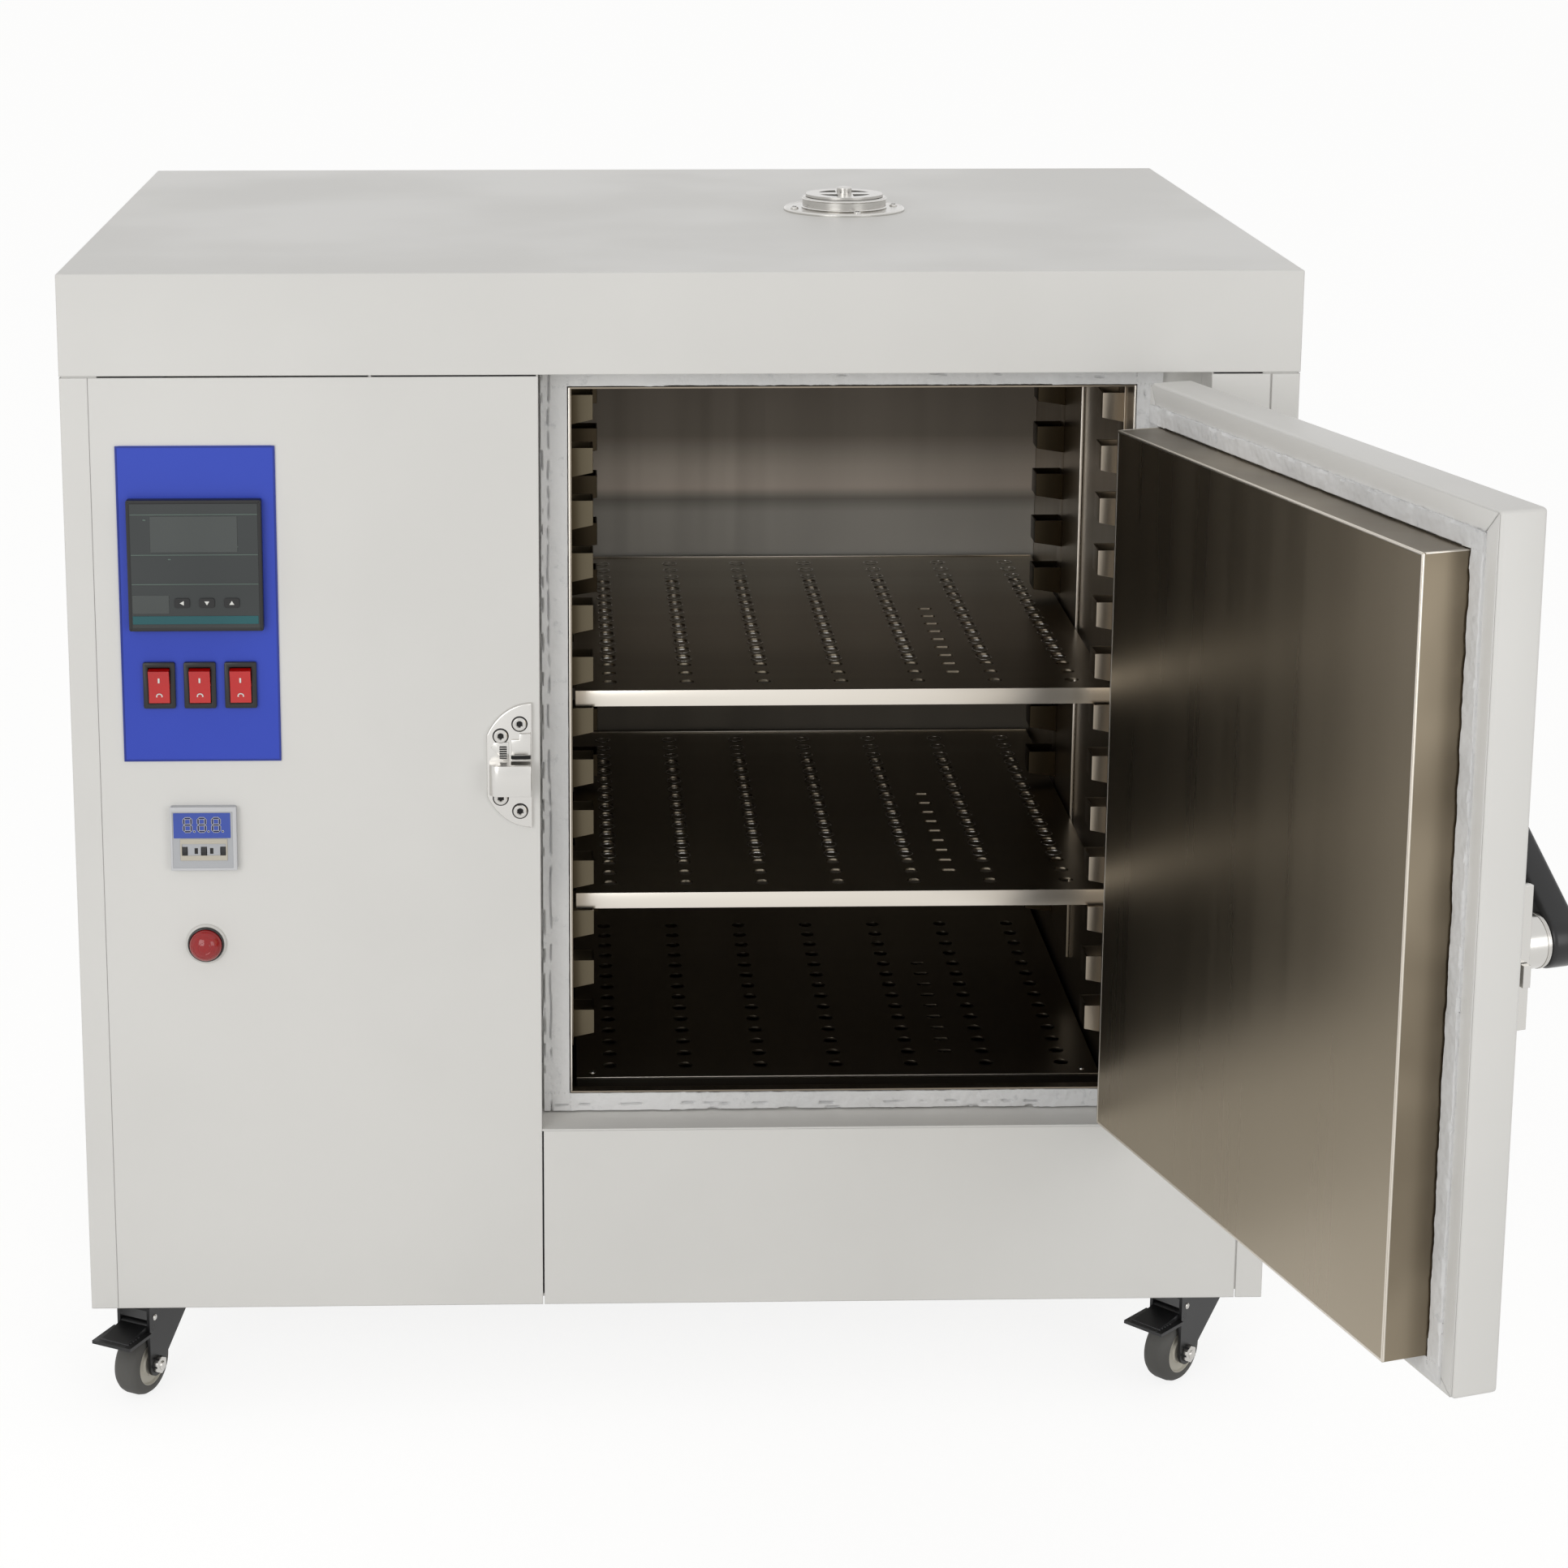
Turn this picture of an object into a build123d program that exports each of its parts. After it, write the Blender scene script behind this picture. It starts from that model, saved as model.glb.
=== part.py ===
from build123d import *
import os
from math import cos, radians, sin

os.makedirs("parts", exist_ok=True)

# High-temperature bench oven on casters, in millimetres.
# X runs left to right across the front, Y runs from the front into the depth, Z is up.
# The origin is on the floor, under the centre of the cabinet.

# Cabinet
cabinet_width = 880
cabinet_depth = 620
cabinet_height = 782
ground_clearance = 76
outer_sheet = 1.5
fascia_height = 73
side_return = 20
panel_gap = 1.2
fine_gap = 0.2
lower_panel_height = 140
cover_edge_radius = 1.2
pan_recess = 6
pan_sheet = 2
post_leg = 25
post_sheet = 2
partition_sheet = 2
louvre_length = 70
louvre_width = 5
louvre_pitch = 14
louvre_rows = 9
louvre_inset = 130
louvre_rise = 330

# Front opening and door
compartment_width = 338
stile_width = 63
door_gap = 3.6
hinge_slot = 34.9
door_thickness = 33
door_proud = 5
door_sheet = 1.5
door_edge_radius = 1.2
door_open_angle = 107.2
gasket_width = 14
gasket_thickness = 2.8
closing_clearance = 0.4
band_width = 21
band_thickness = 6
band_gap = 1
frame_sheet = 1.5

# Door plug, which enters the chamber
plug_depth = 34
plug_inset = 19.2
plug_margin = 26.3
plug_rise = 18.4
plug_drop = 28.4
plug_sheet = 1
plug_seat = 6
plug_gap_free = 7.3
plug_gap_hinge = 4.7
plug_gap_top = 16
plug_gap_bottom = 5
fill_clearance = 0.3

# Hinges
hinge_offset = 11.1
hinge_setback = 4.4
hinge_pin_radius = 3
hinge_running = 0.05
knuckle_radius = 6
knuckle_height = 25
knuckle_gap = 0.4
leaf_sheet = 3
leaf_depth = 25
leaf_foot = 18
leaf_clearance = 1
hinge_end_inset = 90
pin_overhang = 3
pin_head_radius = 5

# Chamber liner and insulation
liner_sheet = 1.2
floor_drop = 57
liner_fit = 0.3
insulation_side = 88
insulation_top = 72
insulation_bottom = 72
insulation_back = 82
rear_space = 30.6
insulation_fit = 0.3

# Fan pocket in the left wall of the chamber, with its guard, impeller and motor
pocket_size = 270
pocket_depth = 58
pocket_behind = 11.3
pocket_above = 28.5
pocket_insulation = 80.2
pocket_lip = 10
guard_sheet = 1.2
guard_clearance = 2
guard_hole_radius = 7
guard_hole_spacing = 24
guard_rings = 4
guard_first_ring = 6
shaft_radius = 6
shaft_hole_clearance = 3
impeller_radius = 118
impeller_disc = 2
impeller_gap = 14
blade_height = 24
blade_sheet = 2
blade_length = 52
blade_count = 12
hub_radius = 16
hub_length = 22
motor_radius = 58
motor_length = 105
motor_flange_radius = 72
motor_flange = 10
shaft_in_motor = 40
shaft_running = 0.05

# Shelf racks, shelves and bottom plate
rack_sheet = 1.2
rack_width = 26
rack_front = 78
rack_pitch_depth = 275
rack_panel_reach = 92
rack_fold = 3
rack_end_gap = 6
clip_reach = 17
clip_width = 24
clip_height = 22
clip_count = 13
rack_base_gap = 28.1
rack_top_gap = 4.9
shelf_drop_in = 0.4
shelf_front = 70
shelf_back_gap = 8.2
shelf_side_gap = 2.4
shelf_sheet = 1.5
shelf_lip = 12
upper_clip = 6
lower_clip = 2
hole_radius = 5.5
hole_margin = 25.9
hole_columns = 7
hole_rows = 14
first_hole = 23.5
last_hole = 88.6
extra_rows = 9
extra_column = 1.5
extra_slot_length = 12
extra_slot_width = 6
bottom_plate_drop = 5
bottom_leg_sheet = 1.5

# Heaters and probe
heater_radius = 4
heater_count = 3
heater_side_gap = 53.5
heater_rise = 26
heater_front_gap = 60
heater_tail = 8
heater_hole_clearance = 0.4
probe_radius = 3
probe_head_radius = 8
probe_head_length = 24
probe_back = 105
probe_up = 100
probe_tip_gap = 12

# Vent on the top
vent_aside = 19
vent_behind = 70.3
vent_flange_radius = 48.5
vent_flange = 2
vent_tube_radius = 25
vent_tube_wall = 2
vent_hole_clearance = 0.5
vent_disc_radius = 33.5
vent_neck = 7
vent_disc = 2
damper_radius = 31
damper_disc = 2
damper_gap = 0.3
damper_knob_radius = 6
damper_knob_height = 5
damper_pin_radius = 2.5
damper_running = 0.05
vent_slot_inner = 9
vent_slot_outer = 21
vent_spoke = 12
vent_slot_count = 4

# Control plate and instruments, measured from the cabinet's left edge and from what is above them
control_left = 37.8
control_drop = 50
control_width = 113.2
control_height = 232.5
control_sheet = 1
control_radius = 3
controller_side = 96
controller_left = 45
controller_drop = 38
controller_proud = 7
controller_case = 91
controller_case_depth = 90
cutout_clearance = 0.5
key_width = 11
key_height = 7
key_pitch = 17.7
key_first = 38.4
key_rise = 21
key_proud = 0.6
key_depth = 3
key_travel = 1
key_clearance = 0.4
switch_width = 23
switch_height = 34.1
switch_pitch = 29.2
switch_first = 27
switch_rise = 40.3
switch_bezel = 2.5
switch_case_width = 19
switch_case_height = 29
switch_case_depth = 24
switch_well_width = 15.8
switch_well_height = 26.8
switch_well_depth = 8
rocker_width = 15
rocker_height = 24.4
rocker_front = 5
rocker_dish = 1.2
rocker_back = 1.5
rocker_pivot_depth = 2.2
rocker_pivot_radius = 1.5
rocker_pivot_length = 1
rocker_pivot_running = 0.05
rocker_tilt = 8
timer_side = 48
timer_left = 69.8
timer_drop = 33.5
timer_proud = 5
timer_case = 44.5
timer_case_depth = 75
wheel_radius = 7
wheel_width = 3.6
wheel_pitch = 14
wheel_rise = 14
wheel_proud = 0.7
wheel_clearance = 0.4
wheel_pivot_radius = 1.2
wheel_pivot_length = 0.8
wheel_pivot_running = 0.05
wheel_count = 3
wheel_sides = 20
lamp_left = 93.1
lamp_drop = 57.7
lamp_bezel_radius = 15
lamp_bezel = 4
lamp_barrel_radius = 11
lamp_barrel_depth = 38
lamp_lens_radius = 12
lamp_lens_seat = 2
lamp_lens_height = 10

# Latch, handle and keeper
latch_height = 92
latch_width = 33
latch_thickness = 9
latch_edge_gap = 6.5
latch_flat = 40
boss_radius = 17
boss_inset = 32.5
boss_height = 22
spindle_radius = 5
spindle_running = 0.05
lever_gap = 0.3
lever_thickness = 21
lever_hub_radius = 18
lever_length = 132
lever_end_radius = 12
lever_tilt = 49
lever_edge_radius = 3
tongue_height = 14
tongue_thickness = 5
tongue_length = 30
tongue_floor = 2
tongue_drop = 10
tongue_clearance = 0.3
tongue_tip_gap = 1.5
tongue_travel = 20
moon_bow = 0.72
moon_bulge = 0.07
keeper_height = 93.6
keeper_width = 32.6
keeper_edge_gap = 6
keeper_sheet = 3
keeper_rise = 7.5
keeper_flat = 46
strike_height = 23
strike_gap = 2.2
strike_wall = 4
strike_end_gap = 6

# Casters
caster_inset_side = 45
caster_inset_front = 40
caster_plate_side = 58
caster_plate_sheet = 2.5
race_radius = 20
race_drop = 2
king_pin_radius = 5
king_pin_running = 0.1
king_head_radius = 8
king_head = 3
swivel_gap = 0.3
fork_sheet = 2.5
fork_top_radius = 22
fork_nose = 34
fork_tail = 21
fork_gap = 2
fork_skirt = 15
caster_wheel_radius = 25
caster_wheel_width = 20
caster_trail = 25
axle_radius = 4
axle_running = 0.1
axle_head_radius = 6.5
axle_head = 3.5
fork_foot_radius = 9
tyre_radius = 6
hub_dish_radius = 17
hub_dish = 3
pedal_pivot_trail = 30
pedal_pivot_rise = 57
pedal_pivot_radius = 2
pedal_running = 0.1
pedal_length = 34
pedal_sheet = 2.5
pedal_width = 34
pedal_drop = 4
shoe_clearance = 2.4
front_left_swivel = -117
front_right_swivel = -135
rear_left_swivel = 108
rear_right_swivel = 62

# Power inlet on the back
inlet_left = 110
inlet_rise = 90
inlet_radius = 11
inlet_flange_side = 46
inlet_flange = 3
inlet_length = 26
inlet_bore = 6
inlet_nut_radius = 16
inlet_nut = 7
nut_sides = 6

# Places that follow from the sizes above
left = -cabinet_width / 2
right = cabinet_width / 2
front = -cabinet_depth / 2
back = cabinet_depth / 2
under = ground_clearance
top = under + cabinet_height
seam = top - fascia_height
opening_left = left + compartment_width
opening_right = right - stile_width
opening_bottom = under + lower_panel_height
opening_top = seam
door_bottom = opening_bottom + door_gap
door_top = opening_top - door_gap
door_edge = opening_right - hinge_slot
shell_free = opening_left + door_gap
hinge_x = door_edge + hinge_offset
hinge_y = front - door_proud + hinge_setback
band_front = front - door_proud + door_thickness + gasket_thickness + closing_clearance
flange_front = band_front + band_thickness
plug_right = door_edge - plug_inset
plug_left = shell_free + plug_margin
plug_bottom = door_bottom + plug_rise
plug_top = door_top - plug_drop
chamber_left = plug_left - plug_gap_free
chamber_right = plug_right + plug_gap_hinge
chamber_top = plug_top + plug_gap_top
threshold = plug_bottom - plug_gap_bottom
chamber_floor = threshold - floor_drop
insulation_rear = back - rear_space
liner_back = insulation_rear - insulation_back
chamber_back = liner_back - liner_sheet
liner_left = chamber_left - liner_sheet
liner_right = chamber_right + liner_sheet
liner_top = chamber_top + liner_sheet
liner_floor = chamber_floor - liner_sheet
chamber_x = (chamber_left + chamber_right) / 2
chamber_y = (band_front + chamber_back) / 2
chamber_z = (chamber_floor + chamber_top) / 2
pocket_y = chamber_y + pocket_behind
pocket_z = chamber_z + pocket_above
pocket_wall = liner_left - pocket_depth
partition_right = pocket_wall - liner_sheet - pocket_insulation
vent_x = chamber_x + vent_aside
vent_y = chamber_y + vent_behind
pan_bottom = under + pan_recess
pan_top = pan_bottom + pan_sheet
control_centre_x = left + control_left + control_width / 2
control_top = seam - control_drop
control_bottom = control_top - control_height
control_centre_z = (control_top + control_bottom) / 2
plate_front = front - control_sheet
controller_x = left + controller_left + controller_side / 2
controller_z = control_top - controller_drop - controller_side / 2
timer_x = left + timer_left + timer_side / 2
timer_z = control_bottom - timer_drop - timer_side / 2
lamp_x = left + lamp_left
lamp_z = timer_z - timer_side / 2 - lamp_drop
key_x = [left + controller_left + key_first + number * key_pitch for number in range(3)]
key_z = controller_z - controller_side / 2 + key_rise
switch_x = [left + control_left + switch_first + number * switch_pitch for number in range(3)]
switch_z = control_bottom + switch_rise + switch_height / 2
rack_y = [front + rack_front, front + rack_front + rack_pitch_depth]
shelf_left = chamber_left + rack_sheet + shelf_side_gap
shelf_right = chamber_right - rack_sheet - shelf_side_gap
shelf_middle = (shelf_left + shelf_right) / 2
shelf_near = front + shelf_front
shelf_far = chamber_back - shelf_back_gap
hole_pitch_across = (shelf_right - shelf_left - 2 * hole_margin) / (hole_columns - 1)
hole_pitch_deep = (shelf_far - shelf_near - first_hole - last_hole) / (hole_rows - 1)
bottom_plate_top = threshold - bottom_plate_drop
rack_low = bottom_plate_top + rack_base_gap
rack_high = chamber_top - rack_top_gap
clip_pitch = (rack_high - rack_low - 2 * rack_end_gap - clip_height) / (clip_count - 1)
clip_levels = [rack_low + rack_end_gap + number * clip_pitch for number in range(clip_count)]
upper_shelf_top = clip_levels[upper_clip] + clip_height + shelf_drop_in + shelf_lip
lower_shelf_top = clip_levels[lower_clip] + clip_height + shelf_drop_in + shelf_lip
heater_z = chamber_floor + heater_rise
rod_gap = (chamber_right - chamber_left - 2 * heater_side_gap) / (2 * heater_count - 1)
heater_bend = rod_gap / 2
heater_pitch = 2 * rod_gap
caster_x = cabinet_width / 2 - caster_inset_side
caster_y = cabinet_depth / 2 - caster_inset_front
race_bottom = under - race_drop
fork_top = race_bottom - swivel_gap
latch_x = shell_free + boss_inset
latch_z = (door_bottom + door_top) / 2
keeper_x = opening_left - keeper_edge_gap
keeper_z = latch_z - tongue_drop + keeper_rise
door_turn = radians(door_open_angle)
door_plane = Plane(
    origin=(hinge_x, hinge_y, 0),
    x_dir=(cos(door_turn), sin(door_turn), 0),
    z_dir=(sin(door_turn), -cos(door_turn), 0),
)


def block(low, high, mode=Mode.ADD):
    """Add or cut a box between two opposite corners in the part being built."""
    size = Vector(*high) - Vector(*low)
    with Locations(low):
        Box(size.X, size.Y, size.Z, align=(Align.MIN, Align.MIN, Align.MIN), mode=mode)


def facing(y):
    """A plane across the cabinet at depth y that looks towards the user."""
    return Plane.XZ.offset(-y)


def door_level(y):
    """A plane of the door that lies at depth y while the door is shut."""
    return door_plane.offset(hinge_y - y)


def save(part, name):
    """Label a finished piece and write it under its name."""
    part.label = name
    export_step(part, f"parts/{name}.step")


def door_slab(x0, x1, y0, y1, z0, z1, mode=Mode.ADD):
    """Add or cut a box of the door, given by its corners while the door is shut."""
    with BuildSketch(door_level(y1)) as outline:
        with Locations(((x0 + x1) / 2 - hinge_x, (z0 + z1) / 2)):
            Rectangle(x1 - x0, z1 - z0)
    extrude(outline.sketch, amount=y1 - y0, mode=mode)


# Base frame: floor pan, four corner posts and the wall that carries the fan motor
with BuildPart() as base_frame:
    block(
        (left + outer_sheet, front + outer_sheet, pan_bottom),
        (right - outer_sheet, back - outer_sheet, pan_top),
    )
    for side_x, turn_x in ((left + outer_sheet, 1), (right - outer_sheet, -1)):
        for side_y, turn_y in ((front + outer_sheet, 1), (back - outer_sheet, -1)):
            leg_x = sorted((side_x, side_x + turn_x * post_leg))
            leg_y = sorted((side_y, side_y + turn_y * post_leg))
            web_x = sorted((side_x, side_x + turn_x * post_sheet))
            web_y = sorted((side_y, side_y + turn_y * post_sheet))
            block((web_x[0], leg_y[0], pan_top), (web_x[1], leg_y[1], top - outer_sheet))
            block((leg_x[0], web_y[0], pan_top), (leg_x[1], web_y[1], top - outer_sheet))
    block(
        (partition_right - partition_sheet, front + outer_sheet, pan_top),
        (partition_right, back - outer_sheet, liner_top + insulation_top),
    )
    with BuildSketch(Plane.YZ.offset(partition_right)):
        with Locations((pocket_y, pocket_z)):
            Circle(shaft_radius + shaft_hole_clearance)
        with Locations((pocket_y + probe_back, pocket_z + probe_up)):
            Circle(probe_radius + fill_clearance)
    extrude(amount=-partition_sheet, mode=Mode.SUBTRACT)
save(base_frame.part, "base_frame")


def side_panel(outer, turn):
    """One folded side sheet, whose outer face is at x = outer and whose returns go to turn."""
    with BuildPart() as panel:
        sheet = sorted((outer, outer + turn * outer_sheet))
        fold = sorted((outer, outer + turn * side_return))
        high = seam - panel_gap
        block((sheet[0], front, under), (sheet[1], back, high))
        block((fold[0], front, under), (fold[1], front + outer_sheet, high))
        block((fold[0], back - outer_sheet, under), (fold[1], back, high))
        fillet(panel.edges().filter_by(Axis.Z).filter_by_position(
            Axis.X, outer - fine_gap, outer + fine_gap), cover_edge_radius)
    return panel.part


save(side_panel(left, 1), "left_side_panel")
save(side_panel(right, -1), "right_side_panel")

# Top cover: an open box whose front wall is the fascia, with the vent hole
with BuildPart() as top_cover:
    block((left, front, seam), (right, back, top))
    fillet(top_cover.edges().group_by(Axis.Z)[-1], cover_edge_radius)
    block(
        (left + outer_sheet, front + outer_sheet, seam),
        (right - outer_sheet, back - outer_sheet, top - outer_sheet),
        mode=Mode.SUBTRACT,
    )
    with BuildSketch(Plane.XY.offset(top)):
        with Locations((vent_x, vent_y)):
            Circle(vent_tube_radius + vent_hole_clearance)
    extrude(amount=-outer_sheet, mode=Mode.SUBTRACT)
save(top_cover.part, "top_cover")

# Back panel with two columns of louvres and the hole for the power inlet
with BuildPart() as back_panel:
    block(
        (left + side_return + fine_gap, back - outer_sheet, under),
        (right - side_return - fine_gap, back, seam - panel_gap),
    )
    with BuildSketch(facing(back)):
        for louvre_x in (left + louvre_inset, right - louvre_inset):
            with Locations((louvre_x, under + louvre_rise)):
                with GridLocations(louvre_length, louvre_pitch, 1, louvre_rows):
                    SlotOverall(louvre_length, louvre_width)
        with Locations((left + inlet_left, under + inlet_rise)):
            Circle(inlet_radius + cutout_clearance)
    extrude(amount=outer_sheet, mode=Mode.SUBTRACT)
save(back_panel.part, "back_panel")

# Control front: the flat sheet left of the door, with the instrument cutouts
with BuildPart() as control_front:
    block(
        (left + side_return + fine_gap, front, under),
        (opening_left, front + outer_sheet, seam - panel_gap),
    )
    with BuildSketch(facing(front)):
        with Locations((controller_x, controller_z)):
            Rectangle(controller_case + 2 * cutout_clearance, controller_case + 2 * cutout_clearance)
        with Locations((timer_x, timer_z)):
            Rectangle(timer_case + 2 * cutout_clearance, timer_case + 2 * cutout_clearance)
        with Locations(*[(x, switch_z) for x in switch_x]):
            Rectangle(
                switch_case_width + 2 * cutout_clearance,
                switch_case_height + 2 * cutout_clearance,
            )
        with Locations((lamp_x, lamp_z)):
            Circle(lamp_barrel_radius + cutout_clearance)
    extrude(amount=-outer_sheet, mode=Mode.SUBTRACT)
save(control_front.part, "control_front_panel")

# Lower front: the sheet under the door
with BuildPart() as lower_front:
    block(
        (opening_left + panel_gap, front, under),
        (right - side_return - panel_gap, front + outer_sheet, opening_bottom - frame_sheet),
    )
save(lower_front.part, "lower_front_panel")

# Door frame: the walls of the recess, the flange behind the fibre band and the hinge stile
with BuildPart() as door_frame:
    with BuildSketch(facing(front + outer_sheet)):
        with Locations(((opening_left + opening_right) / 2, (opening_bottom + opening_top) / 2)):
            Rectangle(
                opening_right - opening_left + 2 * frame_sheet,
                opening_top - opening_bottom + 2 * frame_sheet,
            )
            Rectangle(
                opening_right - opening_left,
                opening_top - opening_bottom,
                mode=Mode.SUBTRACT,
            )
    extrude(amount=-(flange_front + frame_sheet - front - outer_sheet))
    block(
        (opening_left, flange_front, opening_bottom),
        (opening_right, flange_front + frame_sheet, opening_top),
    )
    block(
        (liner_left - liner_fit, flange_front, threshold - liner_sheet - liner_fit),
        (liner_right + liner_fit, flange_front + frame_sheet, liner_top + liner_fit),
        mode=Mode.SUBTRACT,
    )
    block(
        (opening_right, front, opening_bottom - frame_sheet),
        (right - side_return - panel_gap, front + outer_sheet, seam - panel_gap),
    )
    block(
        (opening_left, front, opening_bottom - frame_sheet),
        (opening_right, front + outer_sheet, opening_bottom),
    )
save(door_frame.part, "door_frame")

# Chamber liner: stainless box, open at the front above its threshold, with the fan pocket
with BuildPart() as liner:
    block((liner_left, band_front, liner_floor), (liner_right, liner_back, liner_top))
    block(
        (pocket_wall - liner_sheet, pocket_y - pocket_size / 2 - liner_sheet,
         pocket_z - pocket_size / 2 - liner_sheet),
        (liner_left, pocket_y + pocket_size / 2 + liner_sheet,
         pocket_z + pocket_size / 2 + liner_sheet),
    )
    block(
        (chamber_left, band_front + liner_sheet, chamber_floor),
        (chamber_right, chamber_back, chamber_top),
        mode=Mode.SUBTRACT,
    )
    block(
        (chamber_left, band_front, threshold),
        (chamber_right, band_front + liner_sheet, chamber_top),
        mode=Mode.SUBTRACT,
    )
    block(
        (liner_left, band_front, liner_floor),
        (liner_right, flange_front + frame_sheet + liner_fit, threshold - liner_sheet),
        mode=Mode.SUBTRACT,
    )
    block(
        (chamber_left, flange_front + frame_sheet + liner_fit, chamber_floor),
        (chamber_right, flange_front + frame_sheet + liner_fit + liner_sheet, threshold),
    )
    block(
        (chamber_left, band_front, threshold - liner_sheet),
        (chamber_right, flange_front + frame_sheet + liner_fit + liner_sheet, threshold),
    )
    block(
        (pocket_wall, pocket_y - pocket_size / 2, pocket_z - pocket_size / 2),
        (liner_left, pocket_y + pocket_size / 2, pocket_z + pocket_size / 2),
        mode=Mode.SUBTRACT,
    )
    block(
        (liner_left, pocket_y - pocket_size / 2 + pocket_lip, pocket_z - pocket_size / 2 + pocket_lip),
        (chamber_left, pocket_y + pocket_size / 2 - pocket_lip, pocket_z + pocket_size / 2 - pocket_lip),
        mode=Mode.SUBTRACT,
    )
    with BuildSketch(Plane.YZ.offset(pocket_wall)):
        with Locations((pocket_y, pocket_z)):
            Circle(shaft_radius + shaft_hole_clearance)
        with Locations((pocket_y + probe_back, pocket_z + probe_up)):
            Circle(probe_radius + fill_clearance)
    extrude(amount=-liner_sheet, mode=Mode.SUBTRACT)
    with BuildSketch(Plane.XY.offset(liner_top)):
        with Locations((vent_x, vent_y)):
            Circle(vent_tube_radius + vent_hole_clearance)
    extrude(amount=-liner_sheet, mode=Mode.SUBTRACT)
    with BuildSketch(facing(chamber_back)):
        with Locations((shelf_middle, heater_z)):
            with GridLocations(heater_pitch, 1, heater_count, 1):
                with GridLocations(2 * heater_bend, 1, 2, 1):
                    Circle(heater_radius + heater_hole_clearance)
    extrude(amount=-liner_sheet, mode=Mode.SUBTRACT)
save(liner.part, "chamber_liner")

# Fibre band round the chamber mouth
with BuildPart() as fibre_band:
    band_left = max(chamber_left - band_width, opening_left + band_gap)
    block(
        (band_left, band_front, opening_bottom + band_gap),
        (chamber_right + band_width, flange_front, opening_top - band_gap),
    )
    block(
        (liner_left - liner_fit, band_front, threshold - liner_sheet - liner_fit),
        (liner_right + liner_fit, flange_front, liner_top + liner_fit),
        mode=Mode.SUBTRACT,
    )
save(fibre_band.part, "fibre_band")

# Insulation: one thick jacket round the liner and its fan pocket
with BuildPart() as insulation:
    jacket_front = flange_front + frame_sheet + liner_fit
    block(
        (partition_right, jacket_front, liner_floor - insulation_bottom),
        (liner_right + insulation_side, insulation_rear, liner_top + insulation_top),
    )
    block(
        (liner_left - insulation_fit, jacket_front, liner_floor - insulation_fit),
        (liner_right + insulation_fit, liner_back + insulation_fit, liner_top + insulation_fit),
        mode=Mode.SUBTRACT,
    )
    pocket_half = pocket_size / 2 + liner_sheet + insulation_fit
    block(
        (pocket_wall - liner_sheet - insulation_fit, pocket_y - pocket_half, pocket_z - pocket_half),
        (liner_left, pocket_y + pocket_half, pocket_z + pocket_half),
        mode=Mode.SUBTRACT,
    )
    with BuildSketch(Plane.YZ.offset(partition_right)):
        with Locations((pocket_y, pocket_z)):
            Circle(shaft_radius + shaft_hole_clearance)
        with Locations((pocket_y + probe_back, pocket_z + probe_up)):
            Circle(probe_radius + fill_clearance)
    extrude(amount=pocket_wall - partition_right, mode=Mode.SUBTRACT)
    with BuildSketch(Plane.XY.offset(liner_top)):
        with Locations((vent_x, vent_y)):
            Circle(vent_tube_radius + vent_hole_clearance)
    extrude(amount=insulation_top, mode=Mode.SUBTRACT)
    with BuildSketch(facing(insulation_rear)):
        with Locations((shelf_middle, heater_z)):
            with GridLocations(heater_pitch, 1, heater_count, 1):
                with GridLocations(2 * heater_bend, 1, 2, 1):
                    Circle(heater_radius + heater_hole_clearance)
    extrude(amount=insulation_back, mode=Mode.SUBTRACT)
save(insulation.part, "insulation")

# Shelf racks: two uprights on each side wall, each with a ladder of strap clips, and a wide panel
# with a folded front edge on the right wall
with BuildPart() as racks:
    for wall_x, turn in ((chamber_left, 1), (chamber_right, -1)):
        for upright_y in rack_y:
            face = sorted((wall_x, wall_x + turn * rack_sheet))
            block(
                (face[0], upright_y - rack_width / 2, rack_low),
                (face[1], upright_y + rack_width / 2, rack_high),
            )
            with BuildSketch(*[Plane.XY.offset(level) for level in clip_levels]):
                with Locations((wall_x + turn * clip_reach / 2, upright_y)):
                    Rectangle(clip_reach, clip_width)
                hollow = clip_reach - 2 * rack_sheet
                with Locations((wall_x + turn * (rack_sheet + hollow / 2), upright_y)):
                    Rectangle(hollow, clip_width - 2 * rack_sheet, mode=Mode.SUBTRACT)
            extrude(amount=clip_height)
    panel_front = rack_y[1] - rack_width / 2 - rack_panel_reach
    block(
        (chamber_right - rack_sheet, panel_front, rack_low),
        (chamber_right, rack_y[1] - rack_width / 2, rack_high),
    )
    block(
        (chamber_right - rack_fold, panel_front, rack_low),
        (chamber_right - rack_sheet, panel_front + rack_sheet, rack_high),
    )
save(racks.part, "shelf_racks")


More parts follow.
